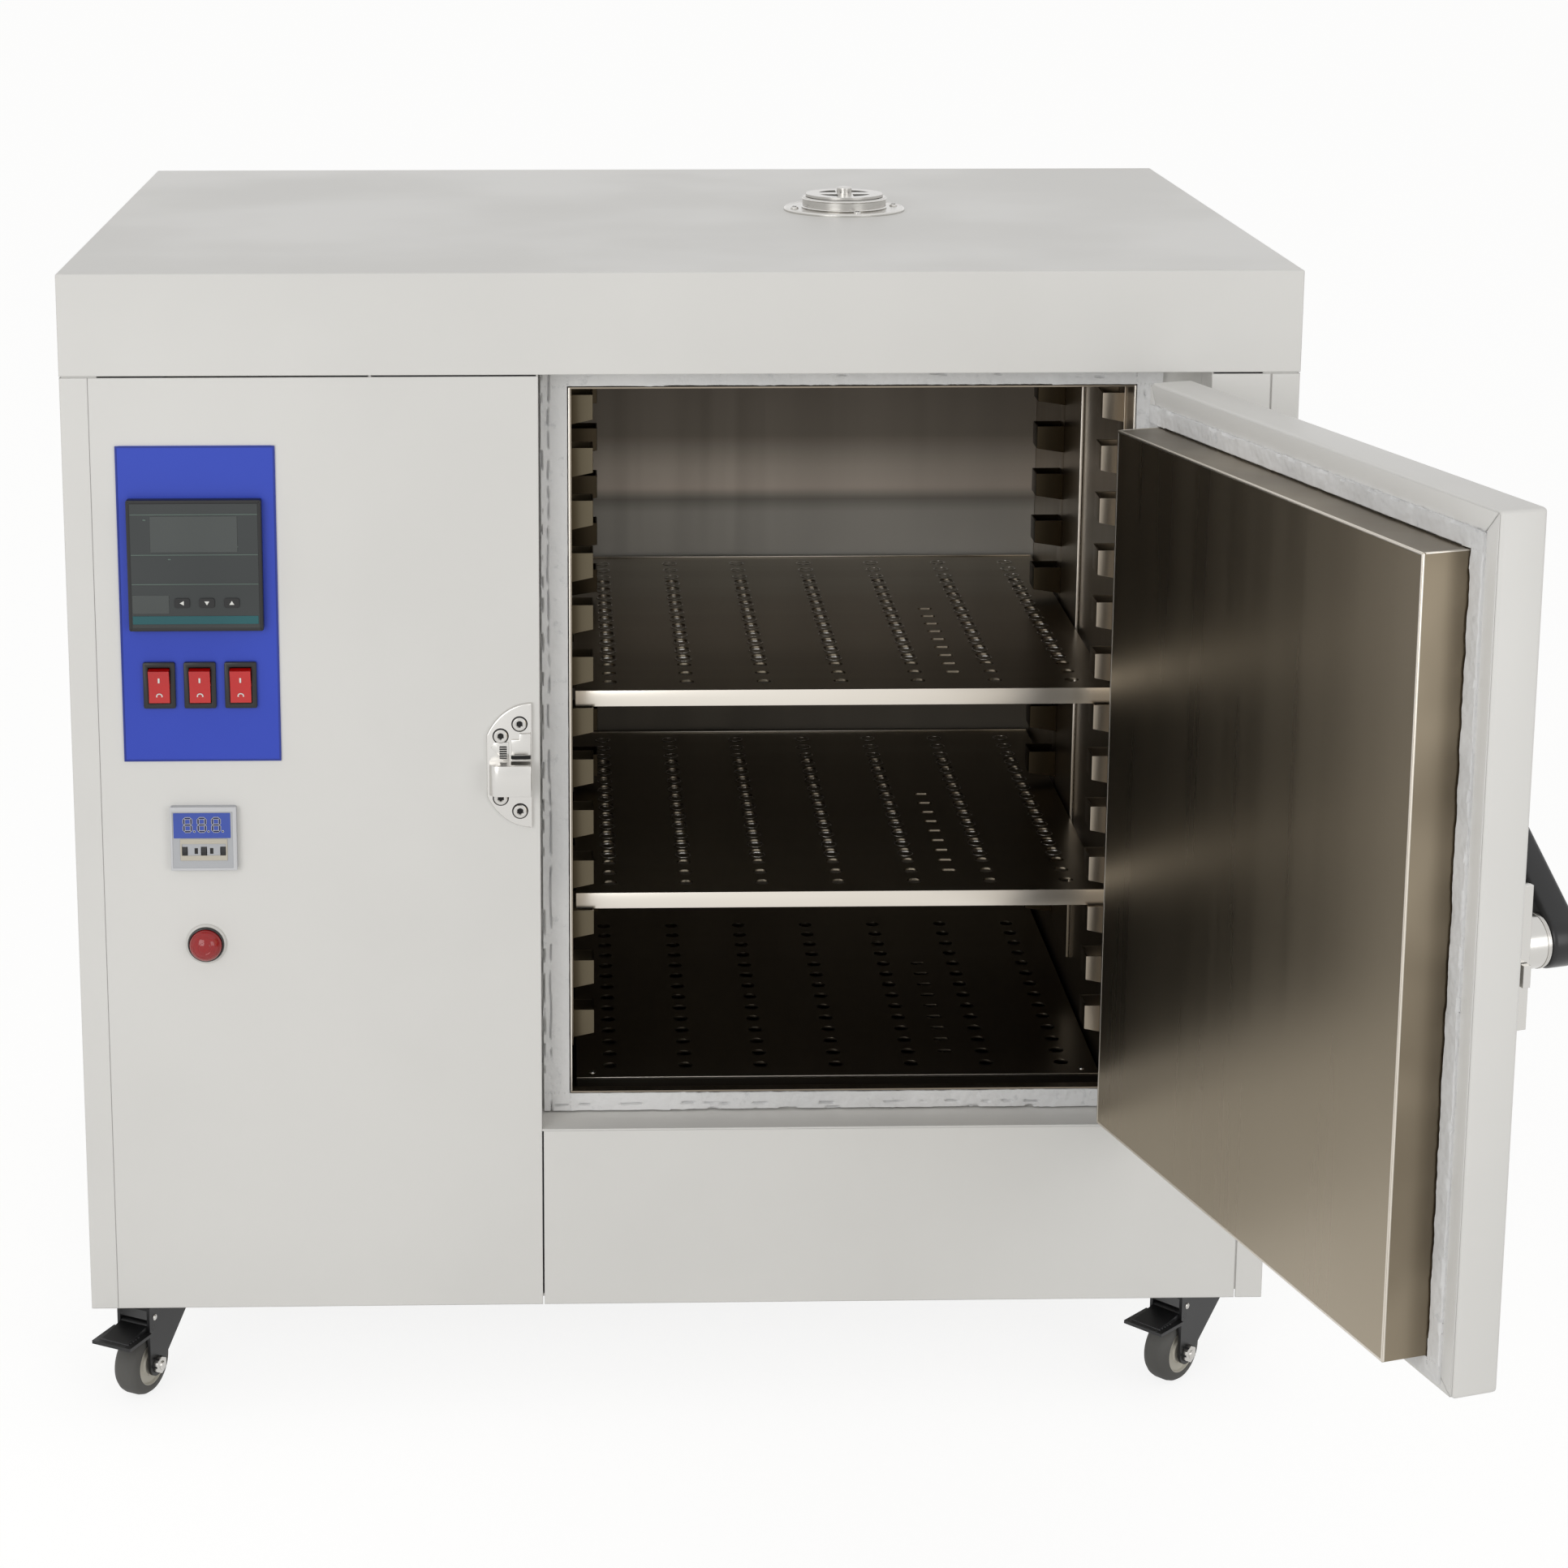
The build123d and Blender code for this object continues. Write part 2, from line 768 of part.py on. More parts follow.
def perforated_tray(high, leg=0):
    """A perforated tray with turned-down edges, its top at high, on side legs if leg is given."""
    with BuildPart() as tray:
        block((shelf_left, shelf_near, high - shelf_lip), (shelf_right, shelf_far, high))
        block(
            (shelf_left + shelf_sheet, shelf_near + shelf_sheet, high - shelf_lip),
            (shelf_right - shelf_sheet, shelf_far - shelf_sheet, high - shelf_sheet),
            mode=Mode.SUBTRACT,
        )
        with BuildSketch(Plane.XY.offset(high)):
            rows_middle = shelf_near + first_hole + (hole_rows - 1) * hole_pitch_deep / 2
            with Locations((shelf_middle, rows_middle)):
                with GridLocations(hole_pitch_across, hole_pitch_deep, hole_columns, hole_rows):
                    Circle(hole_radius)
            extra_middle = shelf_near + first_hole + (extra_rows + 1) * hole_pitch_deep / 2
            with Locations((shelf_middle + extra_column * hole_pitch_across, extra_middle)):
                with GridLocations(1, hole_pitch_deep, 1, extra_rows):
                    SlotOverall(extra_slot_length, extra_slot_width)
        extrude(amount=-shelf_sheet, mode=Mode.SUBTRACT)
        if leg:
            for leg_x in (shelf_left, shelf_right - bottom_leg_sheet):
                block(
                    (leg_x, shelf_near, high - shelf_lip - leg),
                    (leg_x + bottom_leg_sheet, shelf_far, high - shelf_lip),
                )
    return tray.part


save(perforated_tray(upper_shelf_top), "upper_shelf")
save(perforated_tray(lower_shelf_top), "lower_shelf")
bottom_leg = bottom_plate_top - shelf_lip - chamber_floor
save(perforated_tray(bottom_plate_top, bottom_leg), "bottom_plate")

# Heaters: hairpin rods under the bottom plate, whose ends leave through the back
with BuildPart() as heaters:
    for number in range(heater_count):
        middle = shelf_middle + (number - (heater_count - 1) / 2) * heater_pitch
        near = band_front + heater_front_gap
        far = insulation_rear + heater_tail
        with BuildLine() as hairpin:
            Line((middle - heater_bend, far, heater_z), (middle - heater_bend, near + heater_bend, heater_z))
            ThreePointArc(
                (middle - heater_bend, near + heater_bend, heater_z),
                (middle, near, heater_z),
                (middle + heater_bend, near + heater_bend, heater_z),
            )
            Line((middle + heater_bend, near + heater_bend, heater_z), (middle + heater_bend, far, heater_z))
        with BuildSketch(facing(far)):
            with Locations((middle - heater_bend, heater_z)):
                Circle(heater_radius)
        sweep(path=hairpin.line)
save(heaters.part, "heaters")

# Temperature probe: a rod through the partition into the fan pocket, with its head outside
with BuildPart() as probe:
    with BuildSketch(Plane.YZ.offset(partition_right - partition_sheet)):
        with Locations((pocket_y + probe_back, pocket_z + probe_up)):
            Circle(probe_radius)
    extrude(amount=liner_left - probe_tip_gap - partition_right + partition_sheet)
    with BuildSketch(Plane.YZ.offset(partition_right - partition_sheet)):
        with Locations((pocket_y + probe_back, pocket_z + probe_up)):
            Circle(probe_head_radius)
    extrude(amount=-probe_head_length)
save(probe.part, "temperature_probe")

# Fan: guard in front of the pocket, impeller with its shaft, and the motor
with BuildPart() as fan_guard:
    with BuildSketch(Plane.YZ.offset(liner_left)):
        with Locations((pocket_y, pocket_z)):
            Rectangle(pocket_size - 2 * guard_clearance, pocket_size - 2 * guard_clearance)
            Circle(guard_hole_radius, mode=Mode.SUBTRACT)
            for ring in range(1, guard_rings + 1):
                with PolarLocations(ring * guard_hole_spacing, guard_first_ring * ring):
                    Circle(guard_hole_radius, mode=Mode.SUBTRACT)
    extrude(amount=-guard_sheet)
save(fan_guard.part, "fan_guard")

impeller_back = pocket_wall + impeller_gap
with BuildPart() as impeller:
    with BuildSketch(Plane.YZ.offset(impeller_back)):
        with Locations((pocket_y, pocket_z)):
            Circle(impeller_radius)
    extrude(amount=impeller_disc)
    with BuildSketch(Plane.YZ.offset(impeller_back)):
        with Locations((pocket_y, pocket_z)):
            Circle(hub_radius)
    extrude(amount=hub_length)
    with BuildSketch(Plane.YZ.offset(impeller_back + impeller_disc)):
        with Locations((pocket_y, pocket_z)):
            with PolarLocations(impeller_radius - blade_length / 2 - impeller_disc, blade_count):
                Rectangle(blade_length, blade_sheet)
    extrude(amount=blade_height)
    with BuildSketch(Plane.YZ.offset(impeller_back)):
        with Locations((pocket_y, pocket_z)):
            Circle(shaft_radius)
    extrude(amount=partition_right - partition_sheet - motor_flange - shaft_in_motor - impeller_back)
save(impeller.part, "fan_impeller")

with BuildPart() as motor:
    with BuildSketch(Plane.YZ.offset(partition_right - partition_sheet)):
        with Locations((pocket_y, pocket_z)):
            Circle(motor_flange_radius)
    extrude(amount=-motor_flange)
    with BuildSketch(Plane.YZ.offset(partition_right - partition_sheet - motor_flange)):
        with Locations((pocket_y, pocket_z)):
            Circle(motor_radius)
    extrude(amount=-motor_length)
    fillet(motor.edges().group_by(Axis.X)[0], motor_flange / 2)
    with BuildSketch(Plane.YZ.offset(partition_right - partition_sheet)):
        with Locations((pocket_y, pocket_z)):
            Circle(shaft_radius + shaft_running)
    extrude(amount=-(motor_flange + shaft_in_motor + fill_clearance), mode=Mode.SUBTRACT)
save(motor.part, "fan_motor")


def vent_slots(level, depth):
    """Cut the ring of wedge slots through a disc of the vent, from level down."""
    with BuildSketch(Plane.XY.offset(level)) as slots:
        with Locations((vent_x, vent_y)):
            Circle(vent_slot_outer)
            Circle(vent_slot_inner, mode=Mode.SUBTRACT)
            with PolarLocations(0, vent_slot_count):
                with Locations((vent_slot_outer / 2, 0)):
                    Rectangle(vent_slot_outer + vent_spoke, vent_spoke, mode=Mode.SUBTRACT)
    extrude(slots.sketch, amount=-depth, mode=Mode.SUBTRACT)


# Vent: flanged tube with a slotted cap, and the slotted damper that turns on it
neck_top = top + vent_flange + vent_neck
cap_top = neck_top + vent_disc
with BuildPart() as vent:
    with BuildSketch(Plane.XY.offset(top)):
        with Locations((vent_x, vent_y)):
            Circle(vent_flange_radius)
    extrude(amount=vent_flange)
    fillet(vent.edges().group_by(Axis.Z)[-1], vent_flange / 2)
    with BuildSketch(Plane.XY.offset(top + vent_flange)):
        with Locations((vent_x, vent_y)):
            Circle(vent_disc_radius)
    extrude(amount=vent_neck + vent_disc)
    fillet(vent.edges().group_by(Axis.Z)[-1], vent_disc / 2)
    with BuildSketch(Plane.XY.offset(top)):
        with Locations((vent_x, vent_y)):
            Circle(vent_tube_radius)
    extrude(amount=chamber_top - top)
    with BuildSketch(Plane.XY.offset(chamber_top)):
        with Locations((vent_x, vent_y)):
            Circle(vent_tube_radius - vent_tube_wall)
    extrude(amount=neck_top - chamber_top, mode=Mode.SUBTRACT)
    vent_slots(cap_top, vent_disc)
    with BuildSketch(Plane.XY.offset(cap_top)):
        with Locations((vent_x, vent_y)):
            Circle(damper_pin_radius)
    extrude(amount=damper_gap + damper_disc)
save(vent.part, "vent_flange")

with BuildPart() as damper:
    with BuildSketch(Plane.XY.offset(cap_top + damper_gap)):
        with Locations((vent_x, vent_y)):
            Circle(damper_radius)
    extrude(amount=damper_disc)
    with BuildSketch(Plane.XY.offset(cap_top + damper_gap + damper_disc)):
        with Locations((vent_x, vent_y)):
            Circle(damper_knob_radius)
    extrude(amount=damper_knob_height)
    fillet(damper.edges().group_by(Axis.Z)[-1], damper_disc / 2)
    with BuildSketch(Plane.XY.offset(cap_top + damper_gap)):
        with Locations((vent_x, vent_y)):
            Circle(damper_pin_radius + damper_running)
    extrude(amount=damper_disc + damper_gap, mode=Mode.SUBTRACT)
    vent_slots(cap_top + damper_gap + damper_disc, damper_disc)
save(damper.part, "vent_damper")

# Control plate with its cutouts
with BuildPart() as control_plate:
    with BuildSketch(facing(front)):
        with Locations((control_centre_x, control_centre_z)):
            RectangleRounded(control_width, control_height, control_radius)
        with Locations((controller_x, controller_z)):
            Rectangle(
                controller_case + 2 * cutout_clearance,
                controller_case + 2 * cutout_clearance,
                mode=Mode.SUBTRACT,
            )
        with Locations(*[(x, switch_z) for x in switch_x]):
            Rectangle(
                switch_case_width + 2 * cutout_clearance,
                switch_case_height + 2 * cutout_clearance,
                mode=Mode.SUBTRACT,
            )
    extrude(amount=control_sheet)
save(control_plate.part, "control_plate")

# Temperature controller: bezel and case, and three keys that press in
with BuildPart() as controller:
    with BuildSketch(facing(plate_front)):
        with Locations((controller_x, controller_z)):
            RectangleRounded(controller_side, controller_side, control_radius / 2)
    extrude(amount=controller_proud)
    with BuildSketch(facing(plate_front)):
        with Locations((controller_x, controller_z)):
            Rectangle(controller_case, controller_case)
    extrude(amount=-controller_case_depth)
    with BuildSketch(facing(plate_front - controller_proud)):
        with Locations(*[(x, key_z) for x in key_x]):
            Rectangle(key_width + 2 * key_clearance, key_height + 2 * key_clearance)
    extrude(amount=-(key_depth + key_travel + key_clearance), mode=Mode.SUBTRACT)
save(controller.part, "controller_body")

for number, place in enumerate(key_x, start=1):
    with BuildPart() as key:
        with BuildSketch(facing(plate_front - controller_proud - key_proud)):
            with Locations((place, key_z)):
                RectangleRounded(key_width, key_height, key_height / 4)
        extrude(amount=-(key_proud + key_depth))
    save(key.part, f"controller_key_{number}")

# Rocker switches: three housings and three rockers
pivot_y = plate_front - switch_bezel + rocker_pivot_depth
with BuildPart() as switch_housings:
    with BuildSketch(facing(plate_front)):
        with Locations(*[(x, switch_z) for x in switch_x]):
            RectangleRounded(switch_width, switch_height, control_radius / 2)
    extrude(amount=switch_bezel)
    with BuildSketch(facing(plate_front)):
        with Locations(*[(x, switch_z) for x in switch_x]):
            Rectangle(switch_case_width, switch_case_height)
    extrude(amount=-switch_case_depth)
    with BuildSketch(facing(plate_front - switch_bezel)):
        with Locations(*[(x, switch_z) for x in switch_x]):
            Rectangle(switch_well_width, switch_well_height)
    extrude(amount=-switch_well_depth, mode=Mode.SUBTRACT)
    pivot_reach = rocker_width / 2 + rocker_pivot_length + fill_clearance
    for place in switch_x:
        with BuildSketch(Plane.YZ.offset(place - pivot_reach)):
            with Locations((pivot_y, switch_z)):
                Circle(rocker_pivot_radius + rocker_pivot_running)
        extrude(amount=2 * pivot_reach, mode=Mode.SUBTRACT)
save(switch_housings.part, "switch_housings")

for number, place in enumerate(switch_x, start=1):
    with BuildPart() as rocker:
        tilted = Plane(
            origin=(place - rocker_width / 2, pivot_y, switch_z),
            x_dir=(0, cos(radians(rocker_tilt)), sin(radians(rocker_tilt))),
            z_dir=(1, 0, 0),
        )
        with BuildSketch(tilted):
            with BuildLine():
                half = rocker_height / 2
                head = (-rocker_front, half)
                heel = (-rocker_front, -half)
                Polyline(head, (rocker_back, half), (rocker_back, -half), heel)
                ThreePointArc(heel, (rocker_dish - rocker_front, 0), head)
            make_face()
        extrude(amount=rocker_width)
        with BuildSketch(Plane.YZ.offset(place - rocker_width / 2 - rocker_pivot_length)):
            with Locations((pivot_y, switch_z)):
                Circle(rocker_pivot_radius)
        extrude(amount=rocker_width + 2 * rocker_pivot_length)
    save(rocker.part, f"rocker_{number}")

# Timer: bezel and case with three thumbwheels
wheel_x = [timer_x + (number - (wheel_count - 1) / 2) * wheel_pitch for number in range(wheel_count)]
wheel_y = front - timer_proud - wheel_proud + wheel_radius
wheel_z = timer_z - timer_side / 2 + wheel_rise
with BuildPart() as timer:
    with BuildSketch(facing(front)):
        with Locations((timer_x, timer_z)):
            RectangleRounded(timer_side, timer_side, control_radius / 2)
    extrude(amount=timer_proud)
    with BuildSketch(facing(front)):
        with Locations((timer_x, timer_z)):
            Rectangle(timer_case, timer_case)
    extrude(amount=-timer_case_depth)
    for place in wheel_x:
        with BuildSketch(Plane.YZ.offset(place - wheel_width / 2 - wheel_clearance)):
            with Locations((wheel_y, wheel_z)):
                Circle(wheel_radius + wheel_clearance)
        extrude(amount=wheel_width + 2 * wheel_clearance, mode=Mode.SUBTRACT)
        pivot_half = wheel_width / 2 + wheel_pivot_length + wheel_clearance
        with BuildSketch(Plane.YZ.offset(place - pivot_half)):
            with Locations((wheel_y, wheel_z)):
                Circle(wheel_pivot_radius + wheel_pivot_running)
        extrude(amount=2 * pivot_half, mode=Mode.SUBTRACT)
save(timer.part, "timer_body")

for number, place in enumerate(wheel_x, start=1):
    with BuildPart() as thumbwheel:
        with BuildSketch(Plane.YZ.offset(place - wheel_width / 2)):
            with Locations((wheel_y, wheel_z)):
                RegularPolygon(wheel_radius, wheel_sides)
        extrude(amount=wheel_width)
        with BuildSketch(Plane.YZ.offset(place - wheel_width / 2 - wheel_pivot_length)):
            with Locations((wheel_y, wheel_z)):
                Circle(wheel_pivot_radius)
        extrude(amount=wheel_width + 2 * wheel_pivot_length)
    save(thumbwheel.part, f"timer_wheel_{number}")

# Signal lamp: bezel and barrel, and the domed lens
with BuildPart() as lamp_body:
    with BuildSketch(facing(front)):
        with Locations((lamp_x, lamp_z)):
            Circle(lamp_bezel_radius)
    extrude(amount=lamp_bezel)
    fillet(lamp_body.edges().group_by(Axis.Y)[0], lamp_bezel / 3)
    with BuildSketch(facing(front)):
        with Locations((lamp_x, lamp_z)):
            Circle(lamp_barrel_radius)
    extrude(amount=-lamp_barrel_depth)
    with BuildSketch(facing(front - lamp_bezel)):
        with Locations((lamp_x, lamp_z)):
            Circle(lamp_lens_radius + fill_clearance)
    extrude(amount=-lamp_lens_seat, mode=Mode.SUBTRACT)
save(lamp_body.part, "signal_lamp_body")

with BuildPart() as lamp_lens:
    with BuildSketch(facing(front - lamp_bezel + lamp_lens_seat)):
        with Locations((lamp_x, lamp_z)):
            Circle(lamp_lens_radius)
    extrude(amount=lamp_lens_height)
    fillet(lamp_lens.edges().group_by(Axis.Y)[0], lamp_lens_height / 2)
save(lamp_lens.part, "signal_lamp_lens")


def half_moon(plane, edge_x, middle_z, width, height, flat, turn):
    """Sketch a half-moon plate with its straight edge at edge_x and its curve towards turn."""
    with BuildSketch(plane) as plate:
        with BuildLine():
            low = (edge_x, middle_z - height / 2)
            high = (edge_x, middle_z + height / 2)
            out_low = (edge_x + turn * width, middle_z - flat / 2)
            out_high = (edge_x + turn * width, middle_z + flat / 2)
            bow_x = edge_x + turn * width * moon_bow
            bow_z = (height + flat) / 4 + (height - flat) * moon_bulge
            Line(low, high)
            ThreePointArc(high, (bow_x, middle_z + bow_z), out_high)
            Line(out_high, out_low)
            ThreePointArc(out_low, (bow_x, middle_z - bow_z), low)
        make_face()
    return plate.sketch


# Keeper on the control front: half-moon plate with the strike that the tongue goes behind
tongue_y = front - door_proud - tongue_floor
strike_back = tongue_y + strike_gap
strike_front = tongue_y - tongue_thickness - strike_gap - strike_wall
strike_z = latch_z - tongue_drop
tongue_tip = shell_free + tongue_tip_gap
strike_end = tongue_tip - tongue_travel - strike_end_gap
with BuildPart() as keeper:
    moon = half_moon(facing(front), keeper_x, keeper_z, keeper_width, keeper_height, keeper_flat, -1)
    extrude(moon, amount=keeper_sheet)
    block(
        (keeper_x - keeper_width + strike_wall / 2, strike_front, strike_z - strike_height / 2),
        (keeper_x - fine_gap, front - keeper_sheet, strike_z + strike_height / 2),
    )
    fillet(keeper.edges().filter_by(Axis.Z).group_by(Axis.Y)[0].sort_by(Axis.X)[0], strike_wall * 2)
    block(
        (strike_end, strike_front + strike_wall, strike_z - strike_height / 2),
        (keeper_x, strike_back, strike_z + strike_height / 2),
        mode=Mode.SUBTRACT,
    )
save(keeper.part, "keeper_plate")

# Door: painted shell, gasket, stainless plug and the fill between them
shell_outer = front - door_proud
shell_inner = shell_outer + door_thickness
with BuildPart() as door_shell:
    door_slab(shell_free, door_edge, shell_outer, shell_inner, door_bottom, door_top)
    fillet(door_shell.edges().filter_by(Axis.Z), door_edge_radius)
    door_slab(
        shell_free + door_sheet, door_edge - door_sheet,
        shell_outer + door_sheet, shell_inner - door_sheet,
        door_bottom + door_sheet, door_top - door_sheet,
        mode=Mode.SUBTRACT,
    )
    door_slab(
        plug_left + plug_seat, plug_right - plug_seat,
        shell_inner - door_sheet, shell_inner,
        plug_bottom + plug_seat, plug_top - plug_seat,
        mode=Mode.SUBTRACT,
    )
save(door_shell.part, "door_shell")

with BuildPart() as door_plug:
    door_slab(plug_left, plug_right, shell_inner, shell_inner + plug_depth, plug_bottom, plug_top)
    door_slab(
        plug_left + plug_sheet, plug_right - plug_sheet,
        shell_inner, shell_inner + plug_depth - plug_sheet,
        plug_bottom + plug_sheet, plug_top - plug_sheet,
        mode=Mode.SUBTRACT,
    )
save(door_plug.part, "door_plug")

with BuildPart() as door_gasket:
    door_slab(
        plug_left - gasket_width, plug_right + gasket_width,
        shell_inner, shell_inner + gasket_thickness,
        plug_bottom - gasket_width, plug_top + gasket_width,
    )
    door_slab(
        plug_left - fill_clearance, plug_right + fill_clearance,
        shell_inner, shell_inner + gasket_thickness,
        plug_bottom - fill_clearance, plug_top + fill_clearance,
        mode=Mode.SUBTRACT,
    )
save(door_gasket.part, "door_gasket")

with BuildPart() as door_fill:
    skin = door_sheet + fill_clearance
    door_slab(
        shell_free + skin, door_edge - skin, shell_outer + skin, shell_inner - skin,
        door_bottom + skin, door_top - skin,
    )
    seat = plug_seat + fill_clearance
    door_slab(
        plug_left + seat, plug_right - seat, shell_inner - skin,
        shell_inner + plug_depth - plug_sheet - fill_clearance,
        plug_bottom + seat, plug_top - seat,
    )
save(door_fill.part, "door_insulation")

# Hinges: body leaves on the frame flange, door leaves on the door's edge, and their pins
knuckle_total = 3 * knuckle_height + 2 * knuckle_gap
hinge_levels = [
    door_bottom + hinge_end_inset,
    door_top - hinge_end_inset - knuckle_total,
]
bore_radius = hinge_pin_radius + hinge_running
with BuildPart() as body_leaves:
    for level in hinge_levels:
        starts = (level, level + 2 * (knuckle_height + knuckle_gap))
        for start in starts:
            with BuildSketch(Plane.XY.offset(start)):
                with Locations((hinge_x, hinge_y)):
                    Circle(knuckle_radius)
            extrude(amount=knuckle_height)
            block(
                (hinge_x, hinge_y, start),
                (hinge_x + leaf_sheet, hinge_y + knuckle_radius + leaf_clearance, start + knuckle_height),
            )
        block(
            (hinge_x, hinge_y + knuckle_radius + leaf_clearance, level),
            (hinge_x + leaf_sheet, flange_front, level + knuckle_total),
        )
        block(
            (hinge_x, flange_front - leaf_sheet, level),
            (hinge_x + leaf_foot, flange_front, level + knuckle_total),
        )
        with BuildSketch(Plane.XY.offset(level)):
            with Locations((hinge_x, hinge_y)):
                Circle(bore_radius)
        extrude(amount=knuckle_total, mode=Mode.SUBTRACT)
save(body_leaves.part, "hinge_body_leaves")

with BuildPart() as door_leaves:
    for level in hinge_levels:
        start = level + knuckle_height + knuckle_gap
        with BuildSketch(Plane.XY.offset(start)):
            with Locations((hinge_x, hinge_y)):
                Circle(knuckle_radius)
        extrude(amount=knuckle_height)
        door_slab(
            door_edge, hinge_x - bore_radius, hinge_y - leaf_sheet / 2, hinge_y + leaf_sheet / 2,
            start, start + knuckle_height,
        )
        door_slab(
            door_edge, door_edge + leaf_sheet, hinge_y - leaf_sheet / 2, hinge_y + leaf_depth,
            level, level + knuckle_total,
        )
        with BuildSketch(Plane.XY.offset(start)):
            with Locations((hinge_x, hinge_y)):
                Circle(bore_radius)
        extrude(amount=knuckle_height, mode=Mode.SUBTRACT)
save(door_leaves.part, "hinge_door_leaves")

with BuildPart() as hinge_pins:
    for level in hinge_levels:
        with BuildSketch(Plane.XY.offset(level - pin_overhang)):
            with Locations((hinge_x, hinge_y)):
                Circle(hinge_pin_radius)
        extrude(amount=knuckle_total + pin_overhang)
        with BuildSketch(Plane.XY.offset(level + knuckle_total)):
            with Locations((hinge_x, hinge_y)):
                Circle(pin_head_radius)
        extrude(amount=pin_overhang)
save(hinge_pins.part, "hinge_pins")

# Latch: half-moon base with its boss, sliding tongue, and the lever with its spindle
boss_top = shell_outer - latch_thickness - boss_height
latch_edge = shell_free + latch_edge_gap
with BuildPart() as latch_base:
    moon = half_moon(
        door_level(shell_outer), latch_edge - hinge_x, latch_z, latch_width, latch_height, latch_flat, 1
    )
    extrude(moon, amount=latch_thickness)
    with BuildSketch(door_level(shell_outer)):
        with Locations((latch_x - hinge_x, latch_z)):
            Circle(boss_radius)
    extrude(amount=latch_thickness + boss_height)
    door_slab(
        latch_edge - tongue_clearance, tongue_tip + tongue_length + tongue_clearance,
        shell_outer - tongue_floor - tongue_thickness - tongue_clearance,
        shell_outer - tongue_floor + tongue_clearance,
        strike_z - tongue_height / 2 - tongue_clearance, strike_z + tongue_height / 2 + tongue_clearance,
        mode=Mode.SUBTRACT,
    )
    with BuildSketch(door_level(boss_top)):
        with Locations((latch_x - hinge_x, latch_z)):
            Circle(spindle_radius + spindle_running)
    extrude(amount=-(boss_height - fill_clearance), mode=Mode.SUBTRACT)
save(latch_base.part, "latch_base")

with BuildPart() as tongue:
    door_slab(
        tongue_tip, tongue_tip + tongue_length,
        shell_outer - tongue_floor - tongue_thickness, shell_outer - tongue_floor,
        strike_z - tongue_height / 2, strike_z + tongue_height / 2,
    )
save(tongue.part, "latch_tongue")

with BuildPart() as lever:
    lean = radians(lever_tilt)
    end_u = latch_x - hinge_x + lever_length * sin(lean)
    end_v = latch_z + lever_length * cos(lean)
    with BuildSketch(door_level(boss_top - lever_gap)):
        with Locations((latch_x - hinge_x, latch_z)):
            Circle(lever_hub_radius)
        with Locations((end_u, end_v)):
            Circle(lever_end_radius)
        make_hull()
    extrude(amount=lever_thickness)
    fillet(lever.edges().filter_by(GeomType.LINE), lever_edge_radius)
    with BuildSketch(door_level(boss_top - lever_gap)):
        with Locations((latch_x - hinge_x, latch_z)):
            Circle(spindle_radius)
    extrude(amount=-(boss_height - 2 * fill_clearance))
save(lever.part, "handle_lever")


# Casters: plates with race and king pin, forks with their axles, wheels and brake pedals
caster_spots = {
    "front_left": (-caster_x, -caster_y, front_left_swivel),
    "front_right": (caster_x, -caster_y, front_right_swivel),
    "rear_left": (-caster_x, caster_y, rear_left_swivel),
    "rear_right": (caster_x, caster_y, rear_right_swivel),
}
with BuildPart() as caster_plates:
    for spot_x, spot_y, swivel in caster_spots.values():
        with BuildSketch(Plane.XY.offset(pan_bottom - caster_plate_sheet)):
            with Locations((spot_x, spot_y)):
                RectangleRounded(caster_plate_side, caster_plate_side, axle_radius)
        extrude(amount=caster_plate_sheet)
        with BuildSketch(Plane.XY.offset(race_bottom)):
            with Locations((spot_x, spot_y)):
                Circle(race_radius)
        extrude(amount=pan_bottom - caster_plate_sheet - race_bottom)
        with BuildSketch(Plane.XY.offset(race_bottom)):
            with Locations((spot_x, spot_y)):
                Circle(king_pin_radius)
        extrude(amount=-(fork_sheet + 2 * swivel_gap))
        with BuildSketch(Plane.XY.offset(race_bottom - fork_sheet - 2 * swivel_gap)):
            with Locations((spot_x, spot_y)):
                Circle(king_head_radius)
        extrude(amount=-king_head)
save(caster_plates.part, "caster_plates")

fork_inner = caster_wheel_width / 2 + fork_gap
fork_outer = fork_inner + fork_sheet


def trail_plane(spot, across):
    """The caster's upright plane along its trail, at a distance across from its middle."""
    turn = radians(spot[2])
    return Plane(
        origin=(spot[0] + across * sin(turn), spot[1] - across * cos(turn), 0),
        x_dir=(cos(turn), sin(turn), 0),
        z_dir=(sin(turn), -cos(turn), 0),
    )


